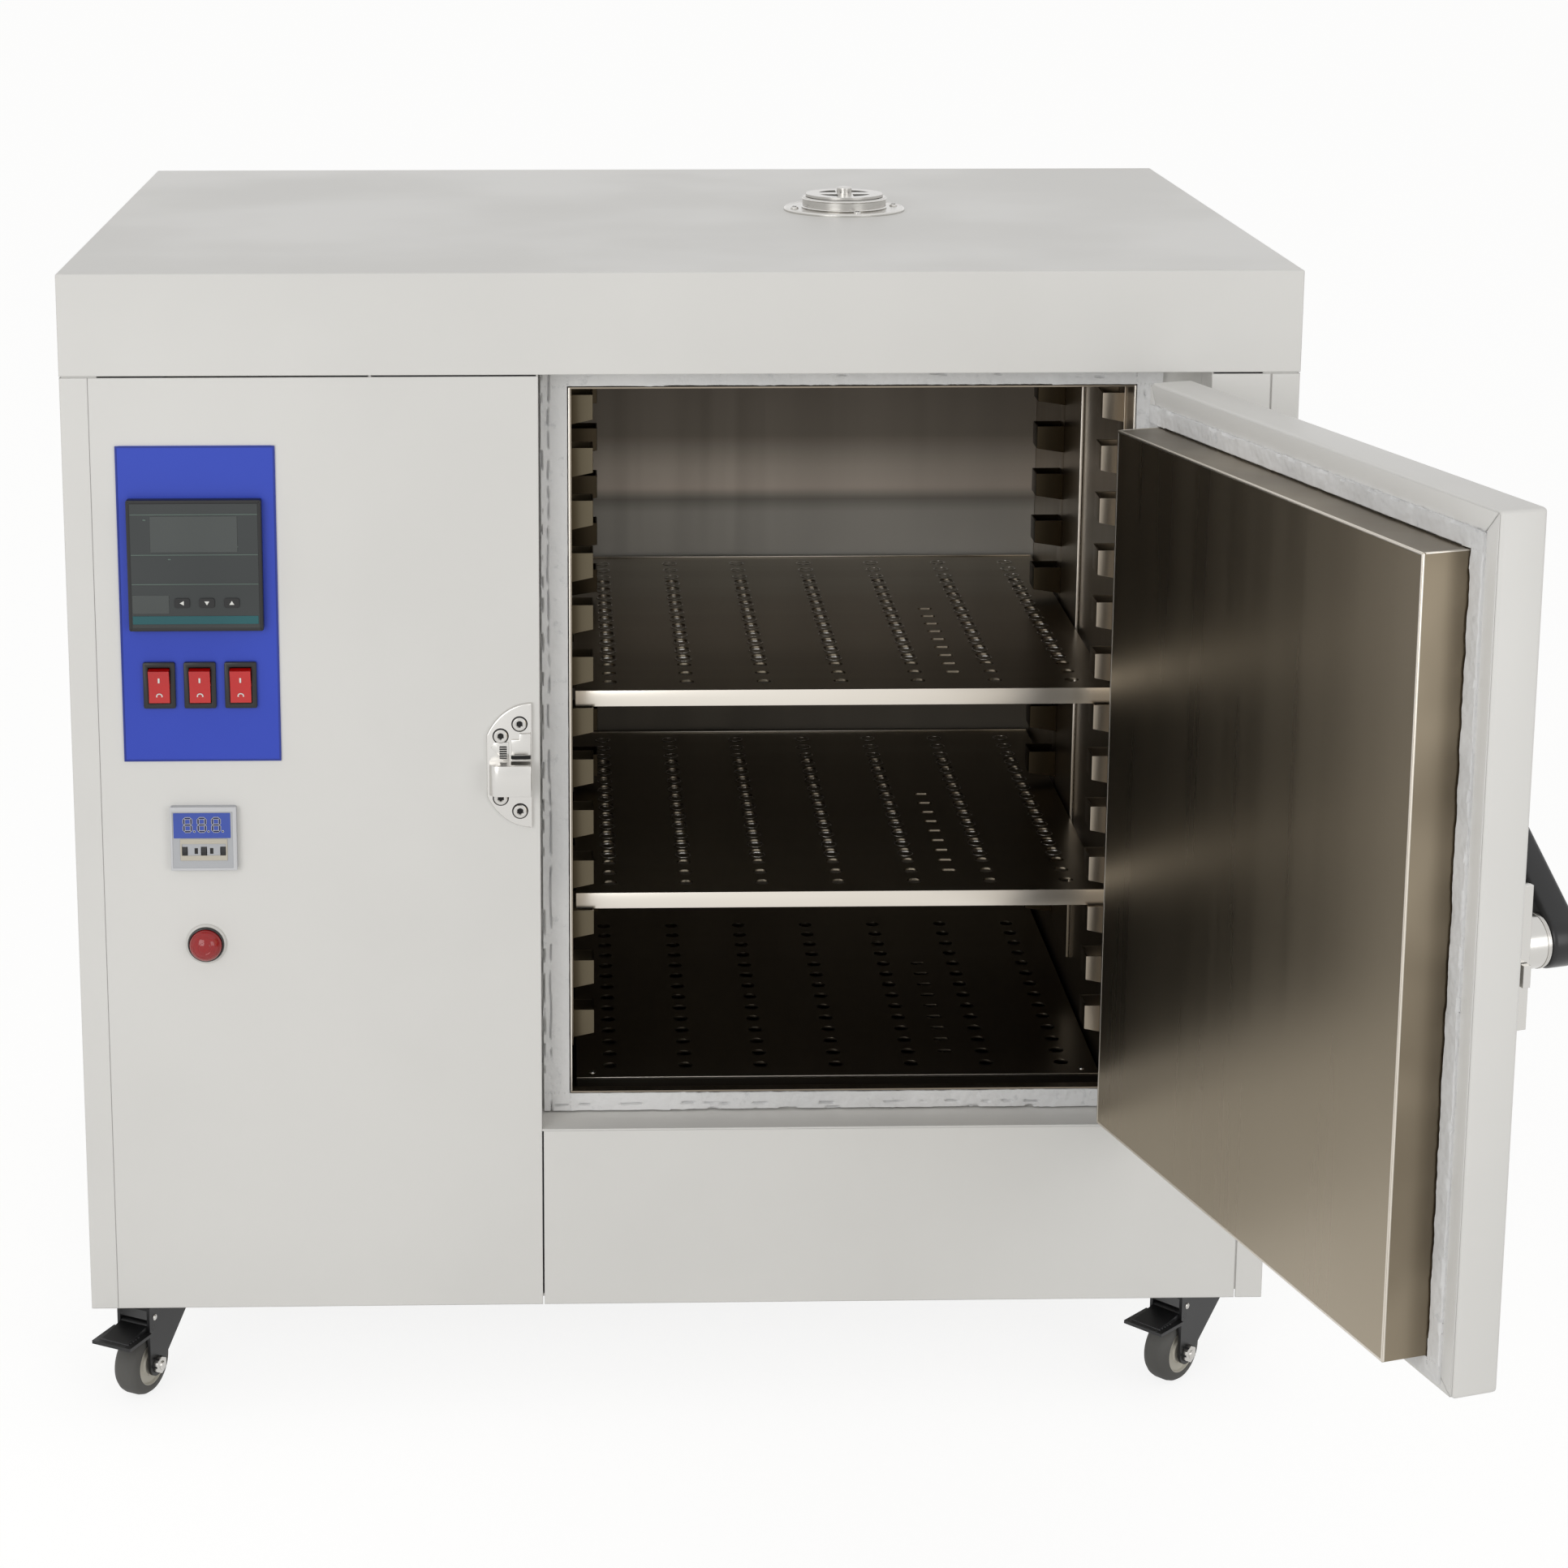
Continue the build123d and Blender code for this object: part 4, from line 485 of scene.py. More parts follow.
class Palette:
    """Every finish of the oven, made once and looked up by name."""

    finishes = (
        Paint("cabinet_paint", "cabinet_paint", (225, 224, 221), (221, 220, 217), roughness=0.42,
              edge=0.0012),
        Paint("control_blue", "control_blue", (42, 70, 190), (38, 64, 180), roughness=0.42),
        Paint("plate_rim_blue", "control_blue", (30, 52, 150), (26, 46, 138), roughness=0.42),
        Paint("instrument_black", "instrument_black", (24, 24, 25), (17, 17, 18), roughness=0.34),
        Paint("window_green", "instrument_black", (60, 66, 64), (48, 54, 52), roughness=0.16, coat=0.5),
        Paint("line_green", "instrument_black", (96, 112, 104), (80, 96, 90), roughness=0.4),
        Paint("key_grey", "instrument_black", (52, 56, 56), (42, 46, 46), roughness=0.45),
        Paint("strip_teal", "instrument_black", (16, 92, 96), (12, 76, 82), roughness=0.4),
        Paint("mark_white", "timer_grey", (236, 236, 232), (222, 222, 218), roughness=0.5),
        Paint("rocker_red", "rocker_red", (210, 14, 12), (182, 8, 10), roughness=0.22, coat=0.4),
        Paint("timer_grey", "timer_grey", (182, 184, 188), (172, 174, 178), roughness=0.45),
        Paint("timer_rim", "timer_grey", (206, 207, 210), (196, 197, 200), roughness=0.4),
        Paint("timer_display", "timer_grey", (34, 72, 176), (26, 60, 156), roughness=0.12, coat=0.6),
        Paint("timer_beige", "timer_grey", (196, 190, 176), (184, 178, 164), roughness=0.5),
        Paint("segment_dark", "timer_grey", (30, 38, 84), (22, 30, 70), roughness=0.3),
        Paint("lamp_ring", "lamp_ring", (30, 28, 28), (20, 19, 19), roughness=0.3),
        Paint("lamp_collar", "lamp_ring", (208, 206, 202), (194, 192, 188), roughness=0.35),
        Paint("motor_grey", "motor_grey", (92, 96, 100), (78, 82, 86), roughness=0.5),
        Paint("caster_black", "caster_black", (24, 24, 25), (15, 15, 16), roughness=0.38),
        Paint("pedal_grey", "caster_black", (52, 52, 54), (40, 40, 42), roughness=0.5, fine=500.0, peel=0.1),
        Paint("tyre", "tyre", (58, 57, 55), (38, 37, 36), roughness=0.62, fine=260.0, peel=0.25),
        Paint("tread_worn", "tyre", (104, 103, 100), (66, 65, 63), roughness=0.75, fine=180.0, peel=0.35),
        Paint("hub_ivory", "tyre", (206, 202, 190), (188, 184, 172), roughness=0.5),
        Paint("inlet_black", "inlet_black", (30, 30, 31), (22, 22, 23), roughness=0.5),
        # Near-black for painted shade in recesses, slots and bores; the timer's small windows take it too.
        Paint("painted_shade_dark", "bare_steel", (14, 13, 12), (9, 8, 8), roughness=0.7),
        Glass("lamp_red", "lamp_red", (178, 6, 12)),
        Fibre("fibre", "fibre", (228, 228, 228), (186, 188, 190)),
        Steel("chamber_steel", "chamber_steel", (150, 140, 126), (132, 122, 108), roughness=0.3,
              grain=Grain.UPRIGHT),
        # Lit copy of the chamber steel: painted highlight on folds, lips and front edges.
        Steel("painted_highlight_steel", "chamber_steel", (226, 220, 210), (214, 206, 194), roughness=0.3,
              grain=Grain.NONE),
        Steel("rack_steel", "chamber_steel", (160, 150, 136), (142, 132, 118), roughness=0.3,
              grain=Grain.UPRIGHT),
        # Darker copies of rack_steel: painted shade on the front left clips, and deeper painted shade on the
        # rear clips.
        Steel("rack_painted_shade_steel", "chamber_steel", (98, 90, 74), (84, 76, 62), roughness=0.35,
              grain=Grain.UPRIGHT),
        Steel("rear_clip_painted_shade_steel", "chamber_steel", (62, 54, 42), (50, 43, 32), roughness=0.4,
              grain=Grain.UPRIGHT),
        PaintedReflectionWall("back_wall_painted_reflection", "chamber_steel"),
        Steel("shelf_steel", "chamber_steel", (140, 132, 116), (124, 114, 100), roughness=0.3,
              grain=Grain.ACROSS),
        Steel("plug_steel", "chamber_steel", (168, 157, 139), (158, 147, 129), roughness=0.28,
              grain=Grain.UPRIGHT,
              scratch=0.006),
        # Darker copy of the plug steel: painted shade for the darker reflection on the plug's sides.
        Steel("plug_side_painted_shade_steel", "chamber_steel", (142, 131, 113), (116, 106, 90), roughness=0.3,
              grain=Grain.UPRIGHT,
              scratch=0.01, patch=9.0),
        Steel("bare_steel", "bare_steel", (206, 204, 200), (190, 187, 182), roughness=0.26, grain=Grain.NONE),
        Steel("latch_chrome", "latch_chrome", (216, 214, 210), (202, 200, 196), roughness=0.22,
              grain=Grain.NONE),
    )

    def __init__(self) -> None:
        """Build all finishes."""
        effects = Effects()
        self.made = {finish.name: finish.make(effects) for finish in self.finishes}
        self.slots = {finish.name: finish.slot for finish in self.finishes}

    def __getitem__(self, name: str) -> bpy.types.Material:
        """Return a finish by its name."""
        return self.made[name]


Point = tuple[float, float, float]
Flat = tuple[float, float]
Rectangle = tuple[float, float, float, float]
SHARP = math.radians(30.0)
CREASE = math.radians(38.0)


class Blank:
    """One solid in millimetres, drawn flat, raised along Z and shaped by mesh operators."""

    def __init__(self) -> None:
        """Start with nothing."""
        self.mesh = bmesh.new()

    @classmethod
    def block(cls, low: Point, high: Point) -> "Blank":
        """Make a block between two corners."""
        blank = cls()
        middle = (Vector(low) + Vector(high)) / 2
        size = Matrix.Diagonal((*(Vector(high) - Vector(low)), 1.0))
        bmesh.ops.create_cube(blank.mesh, size=1.0, matrix=Matrix.Translation(middle) @ size)
        return blank

    @classmethod
    def disc(cls, radius: float, height: float, top: float | None = None, sides: int = 48) -> "Blank":
        """Make an upright bar, or a cone where its top has another radius."""
        blank = cls()
        bmesh.ops.create_cone(
            blank.mesh, cap_ends=True, segments=sides, radius1=radius, radius2=radius if top is None else top,
            depth=height, matrix=Matrix.Translation((0.0, 0.0, height / 2)),
        )
        return blank

    @classmethod
    def turned(cls, profile: list[Flat], ring: bool = False, sides: int = 64) -> "Blank":
        """Spin a profile round Z.

        Args:
            profile: Radius and level of each point. A radius of 0 closes a pole.
            ring: Whether the profile closes on itself.
            sides: Steps of the full turn.

        Returns:
            The turned solid.
        """
        blank = cls()
        mesh = blank.mesh
        verts = [mesh.verts.new((radius, 0.0, level)) for radius, level in profile]
        edges = [mesh.edges.new(pair) for pair in zip(verts, verts[1:])]
        if ring:
            edges.append(mesh.edges.new((verts[-1], verts[0])))
        bmesh.ops.spin(
            mesh, geom=[*verts, *edges], cent=(0, 0, 0), axis=(0, 0, 1), angle=math.tau, steps=sides,
            use_merge=True
        )
        bmesh.ops.remove_doubles(mesh, verts=mesh.verts, dist=1e-4)
        bmesh.ops.recalc_face_normals(mesh, faces=mesh.faces)
        return blank

    @classmethod
    def outline(cls, points: list[Flat], height: float, corner: float = 0.0, steps: int = 5) -> "Blank":
        """Raise a flat outline.

        Args:
            points: The outline's corners.
            height: How far it is raised.
            corner: Radius of its corners.
            steps: Segments of each corner.

        Returns:
            The raised solid.
        """
        blank = cls()
        mesh = blank.mesh
        mesh.faces.new([mesh.verts.new((x, y, 0.0)) for x, y in points])
        if corner:
            bmesh.ops.bevel(
                mesh, geom=list(mesh.verts), offset=corner, offset_type="OFFSET", segments=steps, profile=0.5,
                affect="VERTICES", material=-1, clamp_overlap=True,
            )
        return blank._raised(height)

    @classmethod
    def panel(cls, width: float, depth: float, height: float, corner: float = 0.0) -> "Blank":
        """Raise a rectangle centred on the origin, with round corners."""
        x, y = width / 2, depth / 2
        return cls.outline([(-x, -y), (x, -y), (x, y), (-x, y)], height, corner)

    @classmethod
    def frame(cls, outer: Rectangle, inner: Rectangle, height: float) -> "Blank":
        """Raise the ring between two rectangles, each given by its low and high corners."""
        blank = cls()
        mesh = blank.mesh
        edges = []
        for x0, y0, x1, y1 in (outer, inner):
            loop = [mesh.verts.new((x, y, 0.0)) for x, y in ((x0, y0), (x1, y0), (x1, y1), (x0, y1))]
            edges += [mesh.edges.new(pair) for pair in zip(loop, loop[1:] + loop[:1])]
        bmesh.ops.bridge_loops(mesh, edges=edges)
        return blank._raised(height)

    @classmethod
    def hull(cls, circles: list[tuple[float, float, float]], height: float, sides: int = 40) -> "Blank":
        """Raise the outline stretched round some circles, each given by its centre and radius."""
        blank = cls()
        mesh = blank.mesh
        for x, y, radius in circles:
            bmesh.ops.create_circle(mesh, segments=sides, radius=radius,
                                    matrix=Matrix.Translation((x, y, 0.0)))
        made = bmesh.ops.convex_hull(mesh, input=list(mesh.verts))
        bmesh.ops.delete(mesh, geom=[v for v in made["geom_interior"] if isinstance(v, bmesh.types.BMVert)],
                         context="VERTS")
        bmesh.ops.dissolve_limit(mesh, angle_limit=0.01, verts=mesh.verts, edges=mesh.edges)
        keep = [face for face in mesh.faces if face.normal.z > 0] or list(mesh.faces)
        if len(keep) < len(mesh.faces):
            bmesh.ops.delete(mesh, geom=[face for face in mesh.faces if face not in keep],
                             context="FACES_ONLY")
        return blank._raised(height)

    def _raised(self, height: float) -> "Blank":
        """Give the flat faces their height and close the solid."""
        made = bmesh.ops.extrude_face_region(self.mesh, geom=list(self.mesh.faces),
                                             use_keep_orig=True)["geom"]
        verts = [item for item in made if isinstance(item, bmesh.types.BMVert)]
        bmesh.ops.translate(self.mesh, verts=verts, vec=(0.0, 0.0, height))
        bmesh.ops.recalc_face_normals(self.mesh, faces=self.mesh.faces)
        return self

    def edge(self, size: float, steps: int = 2,
             where: Callable[[Vector], bool] = lambda middle: True) -> "Blank":
        """Round the sharp edges.

        Args:
            size: Width of the rounding.
            steps: Its segments.
            where: Which edges, told by their middle point.

        Returns:
            This blank.
        """
        chosen = [
            edge
            for edge in self.mesh.edges
            if len(edge.link_faces) == 2
            and edge.calc_face_angle() > SHARP
            and where((edge.verts[0].co + edge.verts[1].co) / 2)
        ]
        bmesh.ops.bevel(
            self.mesh, geom=chosen, offset=size, offset_type="OFFSET", segments=steps, profile=0.5,
            affect="EDGES", material=-1, clamp_overlap=True,
        )
        return self

    def cut(self, point: Point, normal: Point) -> "Blank":
        """Cut off what lies on the normal's side of a plane, and close the cut."""
        mesh = self.mesh
        made = bmesh.ops.bisect_plane(
            mesh, geom=[*mesh.verts, *mesh.edges, *mesh.faces], plane_co=point, plane_no=normal,
            clear_outer=True
        )["geom_cut"]
        bmesh.ops.edgeloop_fill(mesh, edges=[item for item in made if isinstance(item, bmesh.types.BMEdge)])
        bmesh.ops.recalc_face_normals(mesh, faces=mesh.faces)
        return self

    def sink(self, margin: float, depth: float) -> "Blank":
        """Inset the top face and push it down."""
        level = max(vert.co.z for vert in self.mesh.verts)
        faces = [face for face in self.mesh.faces if abs(face.calc_center_median().z - level) < 0.001]
        bmesh.ops.inset_region(self.mesh, faces=faces, thickness=margin, use_even_offset=True)
        verts = {vert for face in faces for vert in face.verts}
        bmesh.ops.translate(self.mesh, verts=list(verts), vec=(0.0, 0.0, -depth))
        return self

    def divide(self, longest: float) -> "Blank":
        """Halve the edges until none is longer than a length."""
        while long := [edge for edge in self.mesh.edges if edge.calc_length() > longest]:
            bmesh.ops.subdivide_edges(self.mesh, edges=long, cuts=1, use_grid_fill=True)
        return self

    def apply(self, matrix: Matrix) -> "Blank":
        """Transform every point."""
        bmesh.ops.transform(self.mesh, matrix=matrix, verts=self.mesh.verts)
        return self

    def move(self, x: float = 0.0, y: float = 0.0, z: float = 0.0) -> "Blank":
        """Shift the blank."""
        return self.apply(Matrix.Translation((x, y, z)))

    def turn(self, degrees: float, axis: str = "Z") -> "Blank":
        """Turn the blank round an axis through the origin."""
        return self.apply(Matrix.Rotation(math.radians(degrees), 4, axis))

    def stand(self, facing: Facing, x: float, y: float, z: float) -> "Blank":
        """Stand the blank up with its foot at a place."""
        return self.apply(Matrix.Translation((x, y, z)) @ facing.value)


class Workshop:
    """Joins blanks into named pieces, dresses them and tells the frame about them."""

    def __init__(self, palette: Palette) -> None:
        """Keep the finishes."""
        self.palette = palette

    def piece(
        self, name: str, finish: str, body: str, *blanks: Blank, place: Matrix = Matrix(),
        replaces: tuple[str, ...] = ()
    ) -> bpy.types.Object:
        """Make one visible piece.

        Args:
            name: The piece's name.
            finish: Its finish.
            body: The body that it rides on.
            *blanks: Its solids, in millimetres.
            place: Where the blanks' own frame stands, for the open door and the turned casters.
            replaces: CAD nodes that it stands for.

        Returns:
            The object.
        """
        whole = bmesh.new()
        data = bpy.data.meshes.new(name)
        for blank in blanks:
            blank.mesh.to_mesh(data)
            blank.mesh.free()
            whole.from_mesh(data)
        bmesh.ops.transform(whole, matrix=MM @ place, verts=whole.verts)
        whole.to_mesh(data)
        whole.free()
        data.shade_smooth()
        data.set_sharp_from_angle(angle=CREASE)
        data.materials.clear()
        data.materials.append(self.palette[finish])
        piece = bpy.data.objects.new(name, data)
        bpy.context.scene.collection.objects.link(piece)
        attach(piece, body)
        if replaces:
            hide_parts(*replaces)
        log.info("%s: %s on %s, %d faces", name, finish, body, len(data.polygons))
        return piece


@dataclass
class Screws:
    """A group of round-head screws whose cross recesses are dark bars of painted shade, on one body."""

    name: str
    body: str
    radius: float = 3.0
    height: float = 1.6
    finish: str = "bare_steel"
    heads: list[Blank] = field(default_factory=list)
    marks: list[Blank] = field(default_factory=list)

    def add(self, facing: Facing, x: float, y: float, z: float) -> None:
        """Seat a screw on a face.

        Args:
            facing: The way its head looks.
            x: Its place across, in millimetres.
            y: Its place in the depth.
            z: Its height.
        """
        r, h = self.radius, self.height
        dome = [(0.0, h), (r * 0.5, h * 0.94), (r * 0.85, h * 0.66), (r, h * 0.25), (r, 0.0), (0.0, 0.0)]
        self.heads.append(Blank.turned(dome, sides=20).stand(facing, x, y, z))
        # The cross recess is two dark bars on the dome: painted shade.
        for across in (0.0, 90.0):
            bar = Blank.block((-r * 0.55, -r * 0.12, h * 0.7), (r * 0.55, r * 0.12, h * 1.02))
            self.marks.append(bar.turn(across + 25.0).stand(facing, x, y, z))

    def build(self, shop: Workshop, place: Matrix = Matrix()) -> None:
        """Make the heads, and the dark bars that paint the shade of their recesses.

        Args:
            shop: The workshop.
            place: Where the screws' frame stands.
        """
        shop.piece(self.name, self.finish, self.body, *self.heads, place=place)
        shop.piece(self.name + "_painted_shade_recess", "painted_shade_dark", self.body, *self.marks, place=place)


@dataclass(frozen=True)
class Crack:
    """A wandering crack along one side of a fibre ring."""

    side: int
    inset: float
    wander: float = 1.2
    share: float = 0.0
    depth: float = 3.0


@dataclass
class FibreRing:
    """A rough ring of ceramic fibre with worn edges and cracks, lying on its back face."""

    name: str
    body: str
    outer: Rectangle
    inner: Rectangle
    thickness: float
    seed: float
    cracks: tuple[Crack, ...]
    grid: float = 1.2
    lump: float = 0.8
    worn: float = 1.1

    def _weather(self, ring: Blank) -> None:
        """Press dents into the ring and wear its edges."""
        x0, y0, x1, y1 = self.outer
        a0, b0, a1, b1 = self.inner
        shift = Vector((self.seed, self.seed * 2.0, 0.0))
        for vert in ring.mesh.verts:
            place = vert.co.copy()
            rim = min(abs(place.x - a0), abs(place.x - a1), abs(place.y - b0), abs(place.y - b1))
            edge = min(abs(place.x - x0), abs(place.x - x1), abs(place.y - y0), abs(place.y - y1))
            if place.z > self.thickness * 0.5:
                swell = noise.noise(place / 14.0 + shift) + 0.5 * noise.noise(place / 4.0 + shift)
                vert.co.z += self.lump * swell - 0.4
                if min(rim, edge) < 0.1:
                    vert.co.z -= 0.8
            if rim < 0.1 or edge < 0.1:
                inward = Vector(((x0 + x1) / 2 - place.x, (y0 + y1) / 2 - place.y, 0.0)).normalized()
                way = 1.0 if edge < rim else -1.0
                ragged = 0.5 + 0.5 * noise.noise(place / 9.0 + shift) + 0.4 * noise.noise(place / 2.5 - shift)
                vert.co += inward * way * self.worn * max(0.0, ragged)

    def _crack(self, ring: Blank) -> None:
        """Open the cracks."""
        for number, crack in enumerate(self.cracks):
            start = self.outer[crack.side]
            for vert in ring.mesh.verts:
                along, across = (vert.co.y, vert.co.x) if crack.side in (0, 2) else (vert.co.x, vert.co.y)
                tune = Vector((along / 30.0, self.seed + number * 7.0, 0.0))
                middle = crack.inset + crack.wander * noise.noise(tune)
                near = 1.0 - abs(abs(across - start) - middle) / (self.grid * 0.8)
                opened = noise.noise(Vector((along / 13.0, self.seed - number * 5.0, 3.0)))
                if near > 0.0 and opened > crack.share and vert.co.z > self.thickness * 0.4:
                    vert.co.z -= crack.depth * min(1.0, near * 1.6) * min(1.0, (opened - crack.share) * 6.0)

    def build(self, shop: Workshop, facing: Facing, level: float, replaces: str,
              place: Matrix = Matrix()) -> None:
        """Make the ring.

        Args:
            shop: The workshop.
            facing: The way its rough side looks.
            level: Depth of its back face.
            replaces: The CAD node that it stands for.
            place: Where its frame stands.
        """
        ring = Blank.frame(self.outer, self.inner, self.thickness).divide(self.grid)
        self._weather(ring)
        self._crack(ring)
        ring.stand(facing, 0.0, level, 0.0)
        shop.piece(self.name, "fibre", self.body, ring, place=place, replaces=(replaces,))


@dataclass
class Frame:
    """The CAD nodes that keep their own shape, with the finish of each."""

    coats: dict[str, tuple[str, ...]] = field(
        default_factory=lambda: {
            "cabinet_paint": (
                "left_side_panel", "right_side_panel", "top_cover", "back_panel", "control_front_panel",
                "lower_front_panel", "door_frame", "door_shell", "base_frame",
            ),
            "chamber_steel": ("chamber_liner", "fan_guard"),
            "rack_steel": ("shelf_racks",),
            "shelf_steel": ("upper_shelf", "lower_shelf", "bottom_plate"),
            "plug_steel": ("door_plug",),
            "bare_steel": (
                "heaters", "temperature_probe", "vent_flange", "vent_damper", "fan_impeller",
                "hinge_body_leaves", "hinge_door_leaves", "hinge_pins", "caster_plates",
            ),
            "latch_chrome": ("keeper_plate", "latch_base", "latch_tongue"),
            "fibre": ("fibre_band", "insulation", "door_gasket", "door_insulation"),
            "control_blue": ("control_plate",),
            "instrument_black": (
                "controller_body", "switch_housings", "handle_lever",
                "controller_key_1", "controller_key_2", "controller_key_3",
                "timer_wheel_1", "timer_wheel_2", "timer_wheel_3",
            ),
            "rocker_red": ("rocker_1", "rocker_2", "rocker_3"),
            "timer_grey": ("timer_body",),
            "lamp_ring": ("signal_lamp_body",),
            "lamp_red": ("signal_lamp_lens",),
            "motor_grey": ("fan_motor",),
            "caster_black": (
                "caster_fork_front_left", "caster_fork_front_right", "caster_fork_rear_left",
                "caster_fork_rear_right", "brake_pedal_front_left", "brake_pedal_front_right",
            ),
            "tyre": (
                "caster_wheel_front_left", "caster_wheel_front_right",
                "caster_wheel_rear_left", "caster_wheel_rear_right",
            ),
            "inlet_black": ("power_inlet",),
        }
    )

    def dress(self, palette: Palette) -> None:
        """Give each CAD node its finish.

        Args:
            palette: The finishes.
        """
        for finish, names in self.coats.items():
            for name in names:
                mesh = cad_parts[name].data
                mesh.materials.clear()
                mesh.materials.append(palette[finish])
            log.info("finish %s on %d nodes", finish, len(names))


@dataclass
class Mouth:
    """The chamber mouth: its fibre band and the liner's front edges, whose brightness is a painted highlight.
    """

    opening: Rectangle = (-101.0, 217.0, 348.6, 784.0)
    liner: Rectangle = (-80.8, 231.6, 329.0, 770.4)
    flange: float = -272.8
    front: float = -279.3
    edge: float = 1.3

    def build(self, shop: Workshop) -> None:
        """Make the band and the edges."""
        cracks = (
            Crack(0, 5.5, 1.6, -0.25),
            Crack(0, 1.0, 0.6, 0.05, 4.0),
            Crack(1, 5.2, 1.0, 0.05),
            Crack(1, 0.9, 0.4, 0.2),
            Crack(3, 6.0, 3.5, 0.32, 2.0),
            Crack(2, 12.0, 4.0, 0.1),
        )
        band = FibreRing("chamber_mouth_band", "cabinet", self.opening, self.liner, 6.0, 3.7, cracks)
        band.build(shop, Facing.FRONT, self.flange, "fibre_band")
        x0, z0, x1, z1 = self.liner
        back = self.flange - 2.0
        # The liner's front edges are strips of the brighter steel: painted highlight.
        edges = [
            Blank.block((x0 + 0.2, self.front, z0 + 2.0), (x0 + 0.2 + self.edge, back, z1 - 0.4)),
            Blank.block((x1 - 0.2 - self.edge, self.front, z0 + 2.0), (x1 - 0.2, back, z1 - 0.4)),
        ]
        for edge in edges:
            edge.edge(0.3)
        shop.piece("liner_front_edges", "painted_highlight_steel", "cabinet", *edges)


@dataclass
class Racks:
    """Shelf racks: uprights with strap clips, and the wide panel on the right wall."""

    walls: tuple[float, float] = (-79.4, 327.6)
    uprights: tuple[float, float] = (-232.0, 43.0)
    low: float = 256.1
    high: float = 764.1
    width: float = 26.0
    sheet: float = 1.2
    clip_low: float = 262.1
    clip_pitch: float = 39.5
    clip_count: int = 13
    clip_reaches: tuple[float, float] = (17.0, 23.5)
    clip_width: float = 24.0
    clip_height: float = 22.0
    clip_rise: float = 3.6
    panel_reach: float = 92.0
    fold: float = 3.0

    def _clip(self, reach: float, turned: float, x: float, y: float, z: float) -> Blank:
        """Bend one strap clip with a slanted lower edge.

        Args:
            reach: How far it stands off the wall.
            turned: Degrees round Z, 0 on the left wall and 180 on the right.
            x: The wall's place.
            y: The clip's middle in the depth.
            z: Its lower end.

        Returns:
            The clip.
        """
        out, half, sheet = reach, self.clip_width / 2, self.sheet
        strap = [
            (sheet, -half), (out, -half), (out, half), (sheet, half),
            (sheet, half - sheet), (out - sheet, half - sheet), (out - sheet, sheet - half),
            (sheet, sheet - half),
        ]
        clip = Blank.outline(strap, self.clip_height, corner=0.5, steps=2)
        clip.cut((0.0, 0.0, 0.0), (self.clip_rise, 0.0, -out))
        return clip.turn(turned).move(x, y, z)

    def build(self, shop: Workshop) -> None:
        """Make both walls' racks."""
        half = self.width / 2
        near = self.uprights[1] - half - self.panel_reach
        # The front left clips and all rear clips take darker steel: painted shade.
        finishes = {("left", 0): "rack_painted_shade_steel", ("right", 0): "rack_steel"}
        for wall, turned, side in ((self.walls[0], 0.0, "left"), (self.walls[1], 180.0, "right")):
            x0, x1 = sorted((wall, wall + (self.sheet if side == "left" else -self.sheet)))
            plates = [
                Blank.block((x0, upright - half, self.low), (x1, upright + half, self.high)).edge(0.3)
                for upright in self.uprights
            ]
            if side == "right":
                plates.append(Blank.block((x0, near, self.low), (x1, self.uprights[1] - half, self.high)))
            shop.piece(f"{side}_rack_uprights", "rack_steel", "cabinet", *plates, replaces=("shelf_racks",))
            for number, (upright, reach) in enumerate(zip(self.uprights, self.clip_reaches)):
                clips = [
                    self._clip(reach, turned, wall, upright, self.clip_low + level * self.clip_pitch)
                    for level in range(self.clip_count)
                ]
                finish = finishes.get((side, number), "rear_clip_painted_shade_steel")
                shop.piece(f"{side}_rack_clips_{number + 1}", finish, "cabinet", *clips,
                           replaces=("shelf_racks",))
        # The panel's fold takes the brighter steel: painted highlight.
        fold = Blank.block(
            (self.walls[1] - self.fold, near, self.low), (self.walls[1], near + self.sheet, self.high)
        ).edge(0.4)
        shop.piece("rack_panel_fold", "painted_highlight_steel", "cabinet", fold)


@dataclass
class Shelf:
    """The front lip of a perforated shelf, bright with a painted highlight, and the rims of its holes, in
    brighter steel that paints highlights on them.
    """

    name: str
    body: str
    top: float
    left: float = -75.8
    right: float = 324.0
    near: float = -240.0
    far: float = 188.0
    lip: float = 12.0
    skin: float = 0.35
    first_hole: float = 88.6
    across: float = 58.0
    deep: float = 24.3
    columns: int = 7
    rows: int = 14
    hole: float = 5.5

    def build(self, shop: Workshop) -> None:
        """Make the lip and the rims."""
        # The lip and the rear strip take the brighter steel: painted highlight.
        lip = Blank.block(
            (self.left, self.near - self.skin, self.top - self.lip), (self.right, self.near, self.top + 0.2)
        ).edge(0.15)
        rear = Blank.block((self.left, self.far - 1.4, self.top),
                           (self.right, self.far, self.top + 1.0)).edge(0.15)
        shop.piece(f"{self.name}_lip", "painted_highlight_steel", self.body, lip, rear)
        rims = []
        middle = (self.left + self.right) / 2
        rim = [(self.hole, -0.6), (self.hole + 1.1, 0.0), (self.hole + 0.8, 0.35), (self.hole - 0.1, 0.25)]
        for column in range(self.columns):
            for row in range(self.rows):
                x = middle + (column - (self.columns - 1) / 2) * self.across
                y = self.near + self.first_hole + row * self.deep
                rims.append(Blank.turned(rim, ring=True, sides=14).move(x, y, self.top))
        # The rims take bright bare steel rather than the shelf's own steel: painted highlight.
        shop.piece(f"{self.name}_hole_rims_painted_highlight", "bare_steel", self.body, *rims)


